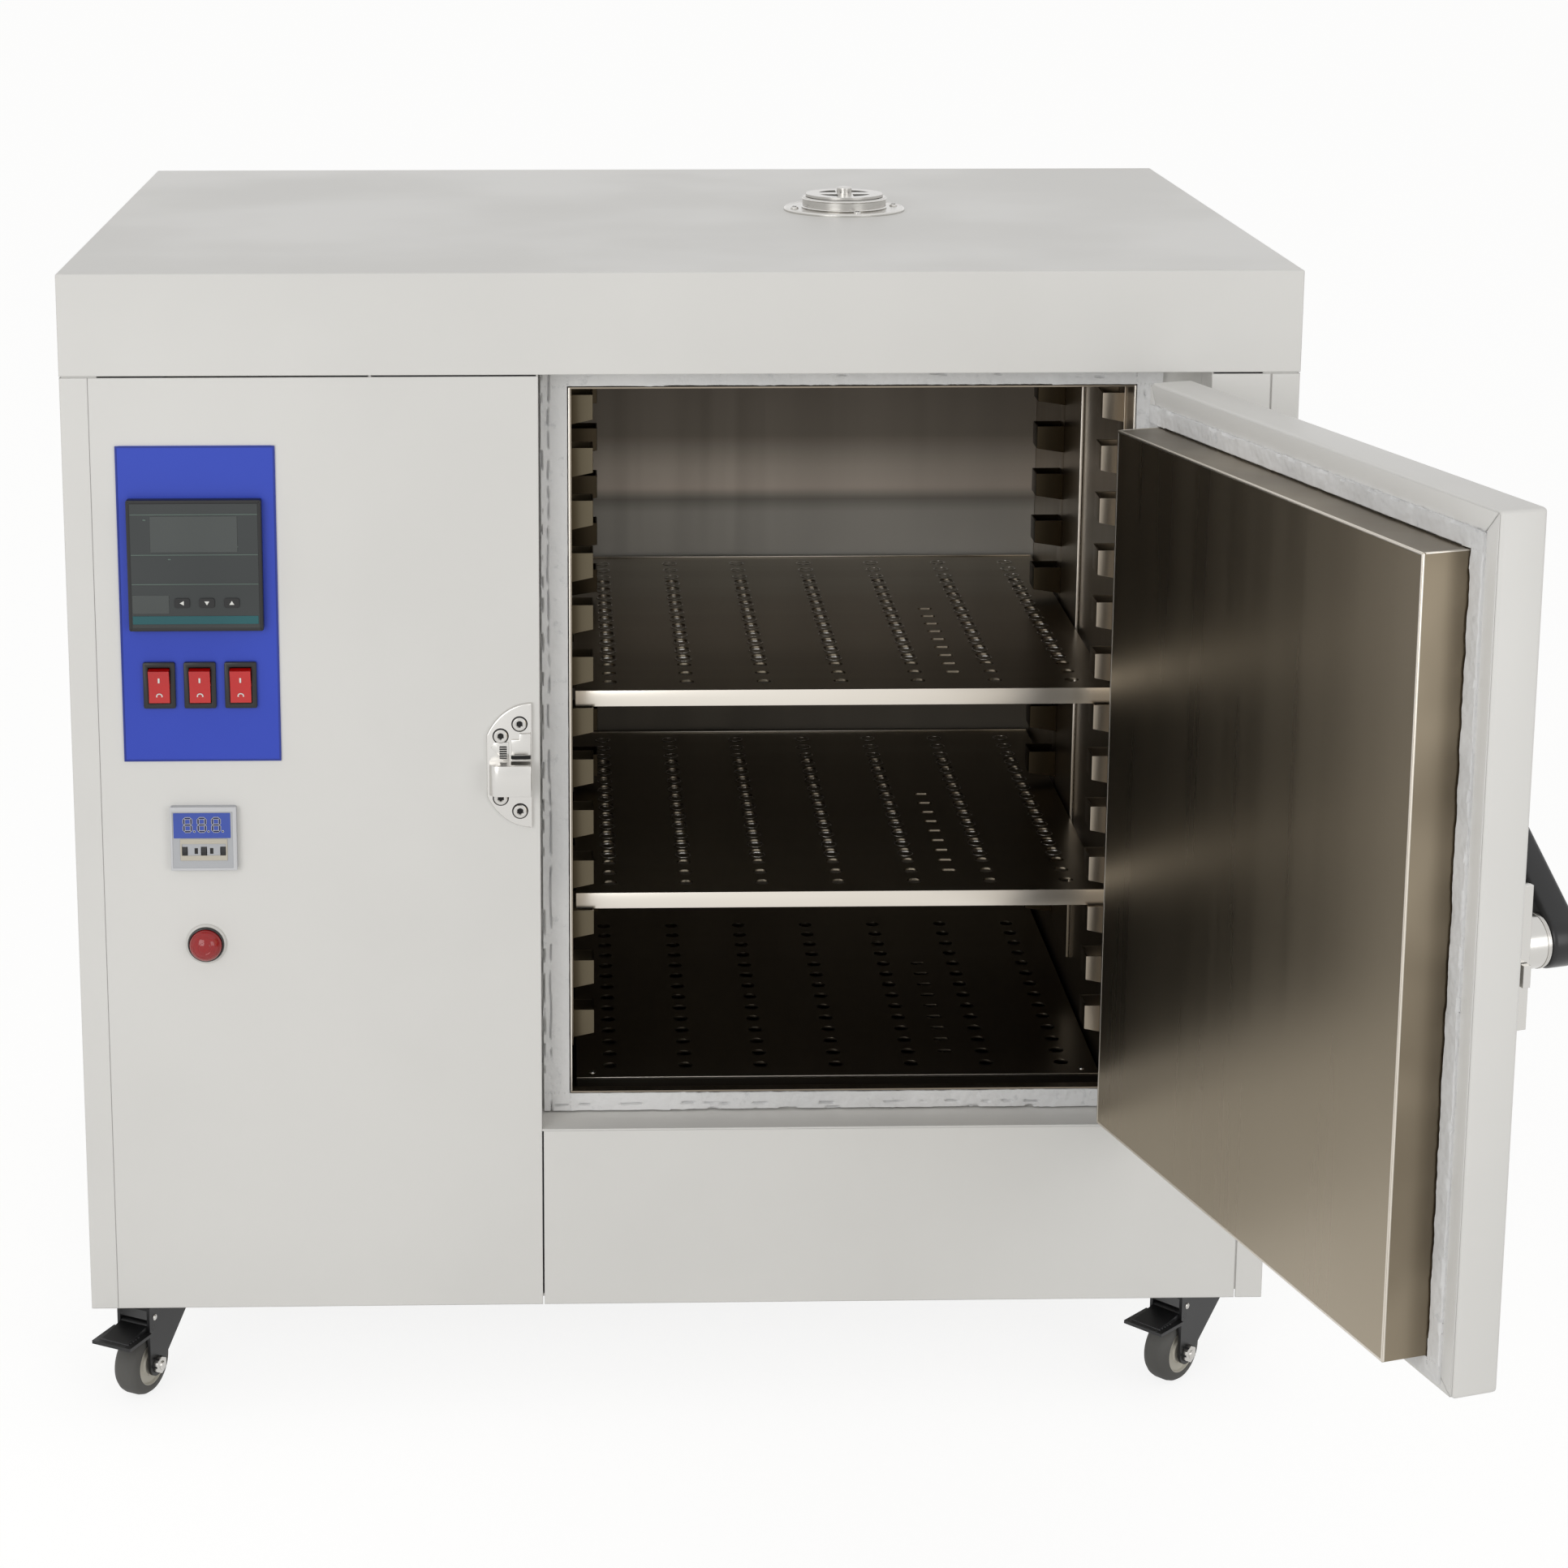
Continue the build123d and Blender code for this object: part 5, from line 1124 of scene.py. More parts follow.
@dataclass
class BottomPlate:
    """The front edge and the screws of the bottom plate."""

    top: float = 228.0
    left: float = -75.8
    right: float = 324.0
    near: float = -240.0

    def build(self, shop: Workshop) -> None:
        """Make the edge and the screws."""
        # The front edge takes the brighter steel: painted highlight.
        edge = Blank.block((self.left, self.near - 0.4, self.top - 1.6),
                           (self.right, self.near, self.top + 0.2)).edge(0.15)
        shop.piece("bottom_plate_edge", "painted_highlight_steel", "cabinet", edge)
        screws = Screws("bottom_plate_screws", "cabinet", radius=2.6, height=1.2)
        for x in (self.left + 12.0, self.right - 12.0):
            for y in (self.near + 10.0, self.near + 410.0):
                screws.add(Facing.UP, x, y, self.top)
        screws.build(shop)


@dataclass
class Door:
    """The door, drawn shut: painted pan with mitred flanges, gasket and folded stainless plug."""

    low: Point = (-98.4, -315.0, 219.6)
    high: Point = (342.1, -282.0, 781.4)
    plug_low: Point = (-72.1, -282.0, 238.0)
    plug_high: Point = (322.9, -248.0, 753.0)
    rounding: float = 3.0
    flange: float = 1.0
    mitre: float = 0.5
    plug_sheet: float = 1.2
    bead: float = 2.2
    gasket_width: float = 14.0
    gasket: float = 2.8

    def _pan(self, shop: Workshop) -> None:
        """Fold the painted pan and lay its four mitred flanges."""
        top = (self.high[0], self.high[1] - self.flange, self.high[2])
        pan = Blank.block(self.low, top).edge(self.rounding, 4)
        shop.piece("door_pan", "cabinet_paint", "door", pan, place=DOOR, replaces=("door_shell",))
        inset = 1.4
        x0, x1 = self.low[0] + inset, self.high[0] - inset
        z0, z1 = self.low[2] + inset, self.high[2] - inset
        a0, a1 = self.plug_low[0] - 2.0, self.plug_high[0] + 2.0
        b0, b1 = self.plug_low[2] - 2.0, self.plug_high[2] + 2.0
        gap = self.mitre
        sides = [
            [(x0, z0 + gap), (a0, b0 + gap), (a0, b1 - gap), (x0, z1 - gap)],
            [(x1, z1 - gap), (a1, b1 - gap), (a1, b0 + gap), (x1, z0 + gap)],
            [(x0 + gap, z1), (a0 + gap, b1), (a1 - gap, b1), (x1 - gap, z1)],
            [(x1 - gap, z0), (a1 - gap, b0), (a0 + gap, b0), (x0 + gap, z0)],
        ]
        flanges = []
        for side in sides:
            strip = Blank.outline([(-x, z) for x, z in side], self.flange).edge(0.35)
            flanges.append(strip.stand(Facing.BACK, 0.0, self.high[1] - self.flange, 0.0))
        shop.piece("door_flanges", "cabinet_paint", "door", *flanges, place=DOOR)

    def _plug(self, shop: Workshop) -> None:
        """Fold the plug, with the seam of its front sheet."""
        size = Vector(self.plug_high) - Vector(self.plug_low)
        middle = (Vector(self.plug_high) + Vector(self.plug_low)) / 2
        sheet, bead = self.plug_sheet, self.bead
        box = Blank.panel(size.x - 0.2, size.z - 0.2, size.y - sheet)
        box.stand(Facing.BACK, middle.x, self.plug_low[1], middle.z)
        # The sides take the darker steel, painted shade of their reflection.
        shop.piece("door_plug_sides", "plug_side_painted_shade_steel", "door", box, place=DOOR, replaces=("door_plug",))
        face = Blank.panel(size.x - 0.3, size.z - 0.3, sheet - 0.2)
        face.stand(Facing.BACK, middle.x, self.plug_high[1] - sheet, middle.z)
        shop.piece("door_plug_face", "plug_steel", "door", face, place=DOOR, replaces=("door_plug",))
        x, z = size.x / 2, size.z / 2
        # The fold rim and the two corner strips take the brighter steel: painted highlight along the plug's
        # edges.
        rim = Blank.frame((-x, -z, x, z), (bead - x, bead - z, x - bead, z - bead), bead).edge(0.8, 3)
        rim.stand(Facing.BACK, middle.x, self.plug_high[1] - bead, middle.z)
        shop.piece("door_plug_fold", "painted_highlight_steel", "door", rim, place=DOOR)
        for edge_x in (self.plug_low[0], self.plug_high[0] - bead):
            low = (edge_x, self.plug_low[1], self.plug_high[2] - 1.0)
            high = (edge_x + bead, self.plug_high[1] - bead, self.plug_high[2])
            name = "free" if edge_x < 0.0 else "hinge"
            strip = Blank.block(low, high).edge(0.4)
            shop.piece(f"door_plug_corner_{name}", "painted_highlight_steel", "door", strip, place=DOOR)

    def build(self, shop: Workshop) -> None:
        """Make the pan, the plug and the gasket."""
        self._pan(shop)
        self._plug(shop)
        x0, x1 = self.plug_low[0], self.plug_high[0]
        z0, z1 = self.plug_low[2], self.plug_high[2]
        wide = self.gasket_width
        cracks = (Crack(3, 1.2, 0.6, 0.05, 2.0), Crack(0, 1.0, 0.4, 0.25, 1.6), Crack(2, 1.0, 0.4, 0.25, 1.6))
        ring = FibreRing(
            "door_gasket_ring", "door",
            (-x1 - wide, z0 - wide, -x0 + wide, z1 + wide),
            (-x1 - 0.4, z0 - 0.4, -x0 + 0.4, z1 + 0.4),
            self.gasket, 11.3, cracks, worn=1.1,
        )
        ring.build(shop, Facing.BACK, self.high[1], "door_gasket", DOOR)


@dataclass
class BackWall:
    """The sheet on the chamber's back, in front of the liner's own wall."""

    low: Point = (-79.2, 195.4, 229.0)
    high: Point = (327.4, 196.0, 768.8)

    def build(self, shop: Workshop) -> None:
        """Make the sheet."""
        # Its finish paints reflections and shade onto the sheet by height.
        shop.piece("chamber_back_sheet", "back_wall_painted_reflection", "cabinet", Blank.block(self.low, self.high))


@dataclass
class Controller:
    """Face of the temperature controller: window, ruled lines, strips and the keys' symbols."""

    x: float = -347.0
    y: float = -318.0
    z: float = 649.0
    keys: tuple[float, ...] = (-9.6, 8.1, 25.8)
    key_face: float = -318.6
    key_z: float = 622.0

    def _flat(self, x0: float, x1: float, z0: float, z1: float, proud: float) -> Blank:
        """Lay a thin plate on the face between two corners, measured from its centre."""
        plate = Blank.panel(x1 - x0, z1 - z0, proud + 0.3, corner=0.4).edge(0.1, 1,
                                                                            lambda place: place.z > 0.2)
        return plate.stand(Facing.FRONT, self.x + (x0 + x1) / 2, self.y + 0.3, self.z + (z0 + z1) / 2)

    def build(self, shop: Workshop) -> None:
        """Make the face."""
        bezel = Blank.panel(96.0, 96.0, 7.0, corner=1.6).edge(1.0, 3, lambda place: place.z > 6.0)
        bezel.sink(2.2, 0.5)
        shop.piece(
            "controller_front_frame", "instrument_black", "cabinet",
            bezel.stand(Facing.FRONT, self.x, self.y + 7.0, self.z), replaces=("controller_body",),
        )
        case = Blank.panel(89.0, 89.0, 60.0, corner=1.0).stand(Facing.BACK, self.x, self.y + 6.9, self.z)
        shop.piece("controller_rear_case", "instrument_black", "cabinet", case, replaces=("controller_body",))
        face = self._flat(-45.4, 45.4, -45.4, 45.4, -0.2)
        shop.piece("controller_face_sheet", "key_grey", "cabinet", face)
        window = self._flat(-31.2, 30.8, 10.1, 36.4, 0.1)
        shop.piece("controller_window", "window_green", "cabinet", window)
        lines = [self._flat(-45.2, 45.2, level - 0.35, level + 0.35, 0.05) for level in (37.6, 8.2, -13.3)]
        lines += [self._flat(x - 1.1, x + 1.1, z - 0.5, z + 0.5, 0.06) for x,
                  z in ((-35.0, 33.7), (-17.8, 5.0), (30.1, 14.0))]
        shop.piece("controller_lines", "line_green", "cabinet", *lines)
        blocks = [self._flat(-45.1, -18.8, -34.9, -21.3, 0.05)]
        shop.piece("controller_set_patch", "window_green", "cabinet", *blocks)
        strip = self._flat(-45.1, 44.6, -42.6, -36.6, 0.08)
        shop.piece("controller_strip", "strip_teal", "cabinet", strip)
        shapes = (
            [(-1.7, 0.0), (1.3, -1.7), (1.3, 1.7)],
            [(0.0, -1.6), (1.8, 1.3), (-1.8, 1.3)],
            [(-1.8, -1.3), (1.8, -1.3), (0.0, 1.6)],
        )
        for number, (key_x, shape) in enumerate(zip(self.keys, shapes), start=1):
            mark = Blank.outline(shape, 0.25).stand(Facing.FRONT, self.x + key_x, self.key_face + 0.1,
                                                    self.key_z)
            shop.piece(f"key_mark_{number}", "mark_white", f"key_{number}", mark)


@dataclass
class ControlPlate:
    """The blue plate's rolled rim."""

    x: float = -345.6
    z: float = 618.75
    width: float = 113.2
    height: float = 232.5
    face: float = -311.0
    rim: float = 1.3

    def build(self, shop: Workshop) -> None:
        """Make the rim."""
        w, h, r = self.width / 2, self.height / 2, self.rim
        rim = Blank.frame((-w, -h, w, h), (r - w, r - h, w - r, h - r), 0.35).edge(0.15, 1)
        shop.piece("control_plate_rim", "plate_rim_blue", "cabinet",
                   rim.stand(Facing.FRONT, self.x, self.face, self.z))


@dataclass
class Rockers:
    """I and O on each rocker switch, lying on its dished face."""

    places: tuple[float, ...] = (-375.2, -346.0, -316.8)
    pivot: float = -311.3
    z: float = 559.85
    tilt: float = 8.0
    front: float = 5.0
    dish: float = 1.2
    half: float = 12.2

    def _lie(self, mark: Blank, x: float, up: float) -> Blank:
        """Lay a mark on the rocker's face.

        Args:
            mark: The flat mark.
            x: The rocker's place.
            up: The mark's height above the pivot.

        Returns:
            The mark in its place.
        """
        deep = self.front - self.dish * (1.0 - (up / self.half) ** 2)
        slope = math.atan(2.0 * self.dish * up / self.half**2)
        stand = Matrix.Translation((x, self.pivot, self.z)) @ Matrix.Rotation(math.radians(90.0 + self.tilt),
                                                                              4, "X")
        lie = Matrix.Translation((0.0, up, deep - 0.06)) @ Matrix.Rotation(-slope, 4, "X")
        return mark.apply(stand @ lie)

    def build(self, shop: Workshop) -> None:
        """Make the marks and the bezels' raised rims."""
        for number, x in enumerate(self.places, start=1):
            bar = Blank.panel(1.3, 5.6, 0.22, corner=0.3)
            ring = Blank.turned([(1.5, 0.0), (2.4, 0.0), (2.4, 0.22), (1.5, 0.22)], ring=True, sides=28)
            marks = (self._lie(bar, x, 5.9), self._lie(ring, x, -7.2))
            shop.piece(f"rocker_marks_{number}", "mark_white", f"rocker_{number}", *marks)
            rim = Blank.frame((-11.3, -16.8, 11.3, 16.8), (-8.3, -13.9, 8.3, 13.9), 0.5).edge(0.25, 2)
            rim.stand(Facing.FRONT, x, -313.4, self.z)
            shop.piece(f"switch_rim_{number}", "instrument_black", "cabinet", rim)


@dataclass
class TimerFace:
    """Face of the timer: raised rim, blue display with digits, and the panel of small windows."""

    x: float = -346.2
    y: float = -315.0
    z: float = 445.0
    side: float = 48.0
    digit_places: tuple[float, ...] = (-11.4, -1.1, 9.2)
    window_places: tuple[float, ...] = (-5.6, 5.6)
    digit_half: Flat = (2.6, 5.0)
    digit_z: float = 10.6
    bar: float = 0.62

    def _flat(self, x0: float, x1: float, z0: float, z1: float, proud: float, corner: float = 0.5) -> Blank:
        """Lay a thin plate on the face between two corners, measured from its centre."""
        plate = Blank.panel(x1 - x0, z1 - z0, 0.3 + proud, corner=corner)
        return plate.stand(Facing.FRONT, self.x + (x0 + x1) / 2, self.y + 0.3, self.z + (z0 + z1) / 2)

    def _digit(self, x: float, grow: float, proud: float) -> list[Blank]:
        """Lay the seven bars and the dot of one digit."""
        w, h, t = *self.digit_half, self.bar + grow
        bars = []
        for across, up, upright in (
            (0.0, h, False), (0.0, 0.0, False), (0.0, -h, False),
            (-w, h / 2, True), (w, h / 2, True), (-w, -h / 2, True), (w, -h / 2, True),
        ):
            reach = (h / 2 if upright else w) - 0.25 + grow
            bar = Blank.outline(
                [(-reach, 0.0), (t - reach, -t), (reach - t, -t), (reach, 0.0), (reach - t, t),
                 (t - reach, t)], proud + 0.3
            )
            if upright:
                bar.turn(90.0)
            bars.append(bar.stand(Facing.FRONT, self.x + x + across, self.y + 0.3,
                                  self.z + self.digit_z + up))
        dot = Blank.disc(0.6 + grow, proud + 0.3, sides=14)
        bars.append(dot.stand(Facing.FRONT, self.x + x + w + 2.2, self.y + 0.3, self.z + self.digit_z - h))
        return bars

    def build(self, shop: Workshop) -> None:
        """Make the face."""
        half = self.side / 2
        rim = Blank.frame((-half, -half, half, half), (1.5 - half, 1.8 - half, half - 2.8, half - 3.6), 1.0)
        rim.edge(0.4, 2).stand(Facing.FRONT, self.x, self.y + 0.4, self.z)
        shop.piece("timer_rim", "timer_rim", "cabinet", rim)
        shop.piece("timer_display", "timer_display", "cabinet", self._flat(-21.7, 19.6, 0.5, 19.6, 0.15))
        outline = [bar for x in self.digit_places for bar in self._digit(x, 0.28, 0.2)]
        shop.piece("timer_digit_edges", "mark_white", "cabinet", *outline)
        bars = [bar for x in self.digit_places for bar in self._digit(x, 0.0, 0.28)]
        shop.piece("timer_digits", "segment_dark", "cabinet", *bars)
        panel = Blank.frame((-17.1, -8.2, 17.1, 8.2), (-15.9, -4.4, 15.9, 4.4), 0.5).edge(0.15, 1)
        panel.stand(Facing.FRONT, self.x, self.y, self.z - 8.2)
        shop.piece("timer_panel", "timer_beige", "cabinet", panel)
        windows = [self._flat(x - 1.2, x + 1.2, -11.4, -7.0, 0.1, 0.2) for x in self.window_places]
        shop.piece("timer_windows", "painted_shade_dark", "cabinet", *windows)


@dataclass
class SignalLamp:
    """Red signal lamp: pale collar, black ring and domed lens with its inner rings."""

    x: float = -346.9
    z: float = 363.3
    face: float = -310.0

    def build(self, shop: Workshop) -> None:
        """Make collar, ring and lens."""
        collar = [(11.0, 0.0), (15.0, 0.0), (15.0, 1.2), (14.3, 2.0), (13.4, 2.2), (13.0, 2.0), (11.0, 2.0)]
        ring = [(10.6, 0.5), (13.3, 0.5), (13.3, 2.8), (12.8, 4.0), (12.2, 4.2), (11.8, 3.6), (10.6, 3.6)]
        lens = [
            (0.0, 12.0), (3.4, 11.7), (4.4, 11.2), (4.8, 11.35), (7.2, 10.5), (8.0, 9.8), (8.5, 9.85),
            (10.6, 7.8), (11.6, 6.0), (11.8, 4.4), (11.8, 2.2), (0.0, 2.2),
        ]
        core = [(0.0, 8.5), (5.0, 8.2), (8.2, 6.4), (9.5, 3.0), (9.5, 2.3), (0.0, 2.3)]
        stand = (Facing.FRONT, self.x, self.face, self.z)
        shop.piece("lamp_collar", "lamp_collar", "cabinet", Blank.turned(collar, ring=True).stand(*stand),
                   replaces=("signal_lamp_body",))
        barrel = Blank.disc(11.0, 30.0).stand(Facing.BACK, self.x, self.face - 0.6, self.z)
        shop.piece("lamp_ring", "lamp_ring", "cabinet", Blank.turned(ring, ring=True).stand(*stand), barrel,
                   replaces=("signal_lamp_body",))
        shop.piece("lamp_lens", "lamp_red", "cabinet", Blank.turned(lens).stand(*stand),
                   replaces=("signal_lamp_lens",))
        shop.piece("lamp_core", "rocker_red", "cabinet", Blank.turned(core).stand(*stand))


@dataclass
class Keeper:
    """The half-moon keeper: bevelled plate, bridge over the tongue, slot, pad and socket screws."""

    x: float = -108.0
    y: float = -310.0
    z: float = 498.0
    width: float = 32.6
    bow: Flat = (37.5, 46.8)
    sheet: float = 3.0
    strike_z: float = 490.5
    strike_height: float = 23.0
    hollow: float = -122.9
    strike: tuple[float, float, float] = (-328.2, -324.2, -314.8)
    screws: tuple[Flat, ...] = ((-8.7, 31.4), (-22.4, 22.4), (-22.6, -24.2), (-8.6, -34.2))

    def _plate(self) -> Blank:
        """Cut the half-moon from an ellipse and round its edge."""
        plate = Blank.disc(1.0, self.sheet, sides=120).apply(Matrix.Diagonal((*self.bow, 1.0, 1.0)))
        plate.cut((0.0, 0.0, 0.0), (1.0, 0.0, 0.0)).cut((-self.width, 0.0, 0.0), (-1.0, 0.0, 0.0))
        return plate.edge(1.1, 3, lambda place: place.z > self.sheet - 0.1)

    def _bridge(self) -> Blank:
        """Bend the strike that the tongue goes behind."""
        front, inner, back = self.strike
        left, hollow, right, foot = self.x - self.width + 2.0, self.hollow, self.x - 0.3, self.y - self.sheet
        plan = [
            (left, foot), (left, front), (right, front), (right, inner), (hollow, inner), (hollow, back),
            (right, back), (right, foot),
        ]
        bridge = Blank.outline([(x, y) for x, y in plan], self.strike_height)
        bridge.edge(7.0, 6, lambda place: abs(place.x - left) < 0.1 and abs(place.y - front) < 0.1)
        bridge.edge(0.7, 2, lambda place: place.y < inner - 1.0)
        return bridge.move(z=self.strike_z - self.strike_height / 2)

    def build(self, shop: Workshop) -> None:
        """Make the plate, the bridge and what is on them."""
        plate = self._plate().stand(Facing.FRONT, self.x, self.y, self.z)
        shop.piece("keeper_moon", "latch_chrome", "cabinet", plate, self._bridge(),
                   replaces=("keeper_plate",))
        face = self.y - self.sheet
        socket = [(0.0, 0.3), (2.6, 0.3), (2.6, 1.5), (4.4, 1.5), (5.0, 1.0), (5.0, -0.4), (0.0, -0.4)]
        ring = [(5.0, 0.0), (5.9, 0.0), (5.9, 0.12), (5.0, 0.12)]
        heads, wells, rings = [], [], []
        for x, z in self.screws:
            place = (self.x + x, face, self.z + z)
            heads.append(Blank.turned(socket, sides=32).stand(Facing.FRONT, *place))
            # The thin dark ring round each head and the dark hex well in it are painted shade.
            rings.append(Blank.turned(ring, ring=True, sides=32).stand(Facing.FRONT, *place))
            wells.append(Blank.disc(2.5, 0.4, sides=6).stand(Facing.FRONT, *place))
        shop.piece("keeper_screws", "bare_steel", "cabinet", *heads)
        shop.piece("keeper_screw_painted_shade", "painted_shade_dark", "cabinet", *wells, *rings)
        pad = Blank.outline([(-14.6, 8.6), (-0.6, 8.6), (-0.6, 24.6), (-9.0, 24.6), (-9.0, 20.0),
                             (-14.6, 20.0)], 2.2)
        pad.edge(0.5, 2, lambda place: place.z > 2.0).stand(Facing.FRONT, self.x, face, self.z)
        bed = Blank.outline([(-29.4, 14.0), (-19.0, 2.5), (-16.5, 2.5), (-16.5, 18.0), (-27.0, 18.0)], 1.0)
        bed.edge(0.5, 2, lambda place: place.z > 0.9).stand(Facing.FRONT, self.x, face, self.z)
        shop.piece("keeper_pads", "latch_chrome", "cabinet", pad, bed)
        # The slot and the narrow gap beside the pad are dark plates: painted shade.
        slot = [Blank.panel(5.4, 9.4, 1.3, corner=0.5).stand(Facing.FRONT, self.x - 20.6, face,
                                                             self.z + 10.4)]
        slot.append(Blank.panel(14.0, 2.4, 0.5, corner=0.3).stand(Facing.FRONT, self.x - 8.0, face,
                                                                  self.z + 6.4))
        shop.piece("keeper_slot_painted_shade", "painted_shade_dark", "cabinet", *slot)
        ribs = [
            Blank.panel(5.4, 0.6, 1.5).stand(Facing.FRONT, self.x - 20.6, face, self.z + 7.0 + step * 1.7)
            for step in range(5)
        ]
        shop.piece("keeper_slot_ribs", "bare_steel", "cabinet", *ribs)


@dataclass
class Latch:
    """The door's latch, drawn shut: screws, collars round the boss, and the rounded lever."""

    x: float = -65.9
    z: float = 500.5
    base_edge: float = -91.9
    base_face: float = -324.0
    boss: float = 17.0
    boss_face: float = -346.0
    lever_face: float = -346.3
    lever_thickness: float = 21.0
    lever_length: float = 132.0
    lever_tilt: float = 49.0
    hub: float = 18.0
    tip: float = 12.0
    screws: tuple[Flat, ...] = ((8.5, 34.0), (22.0, 24.0), (22.0, -24.0), (8.5, -34.0))

    def build(self, shop: Workshop) -> None:
        """Make the screws, the collar and the lever."""
        lean = math.radians(self.lever_tilt)
        end = (self.lever_length * math.sin(lean), self.lever_length * math.cos(lean))
        lever = Blank.hull([(0.0, 0.0, self.hub), (*end, self.tip)], self.lever_thickness).edge(4.0, 4)
        lever.stand(Facing.FRONT, self.x, self.lever_face, self.z)
        spindle = Blank.disc(6.0, 20.0, sides=24).stand(Facing.BACK, self.x, self.lever_face - 0.5, self.z)
        shop.piece("handle_grip", "instrument_black", "lever", lever, place=DOOR, replaces=("handle_lever",))
        shop.piece("handle_spindle", "bare_steel", "lever", spindle, place=DOOR, replaces=("handle_lever",))
        collar = Blank.turned([(self.boss, 0.0), (self.boss + 0.9, 0.4), (self.boss + 0.9, 2.4),
                               (self.boss, 2.8)], ring=True)
        band = Blank.turned([(self.boss, 0.0), (self.boss + 0.4, 0.3), (self.boss + 0.4, 2.0),
                             (self.boss, 2.3)], ring=True)
        collar.stand(Facing.FRONT, self.x, self.base_face, self.z)
        band.stand(Facing.FRONT, self.x, self.boss_face + 3.0, self.z)
        shop.piece("latch_collars", "bare_steel", "door", collar, band, place=DOOR)
        screws = Screws("latch_screws", "door", radius=4.2, height=1.4)
        for x, z in self.screws:
            screws.add(Facing.FRONT, self.base_edge + x, self.base_face, self.z + z)
        screws.build(shop, DOOR)


@dataclass
class Vent:
    """Screws, rolled rim and knob cap of the roof vent."""

    x: float = 143.1
    y: float = 29.0
    top: float = 858.0
    flange: float = 2.0
    flange_radius: float = 48.5
    cap_radius: float = 33.5
    cap_top: float = 869.0
    knob_top: float = 876.3
    knob_cap: float = 2.4

    def build(self, shop: Workshop) -> None:
        """Make the vent's small pieces."""
        rim = [(self.flange_radius - 1.6, 0.0), (self.flange_radius, 0.4), (self.flange_radius, 1.4),
               (self.flange_radius - 0.8, 2.4), (self.flange_radius - 1.6, 2.1)]
        bead = [(self.cap_radius, 0.0), (self.cap_radius + 0.8, 0.8), (self.cap_radius, 1.6)]
        pieces = [
            Blank.turned(rim, ring=True, sides=96).move(self.x, self.y, self.top),
            Blank.turned(bead, ring=True, sides=96).move(self.x, self.y, self.cap_top - 2.2),
            Blank.turned(bead, ring=True, sides=96).move(self.x, self.y, self.top + self.flange),
        ]
        shop.piece("vent_beads", "latch_chrome", "cabinet", *pieces)
        screws = Screws("vent_screws", "cabinet", radius=3.2, height=1.8)
        reach = (self.flange_radius + self.cap_radius) / 2
        for degrees in (100.0, 190.0, 280.0, 10.0):
            turn = math.radians(degrees - 90.0)
            screws.add(Facing.UP, self.x + reach * math.cos(turn), self.y + reach * math.sin(turn),
                       self.top + self.flange)
        screws.build(shop)
        cap = [(0.0, 2.4), (3.6, 2.3), (5.2, 1.6), (5.9, 0.4), (5.9, -1.0), (0.0, -1.0)]
        knob = Blank.turned(cap, sides=40).move(self.x, self.y, self.knob_top - self.knob_cap)
        shop.piece("vent_knob_cap", "bare_steel", "damper", knob)


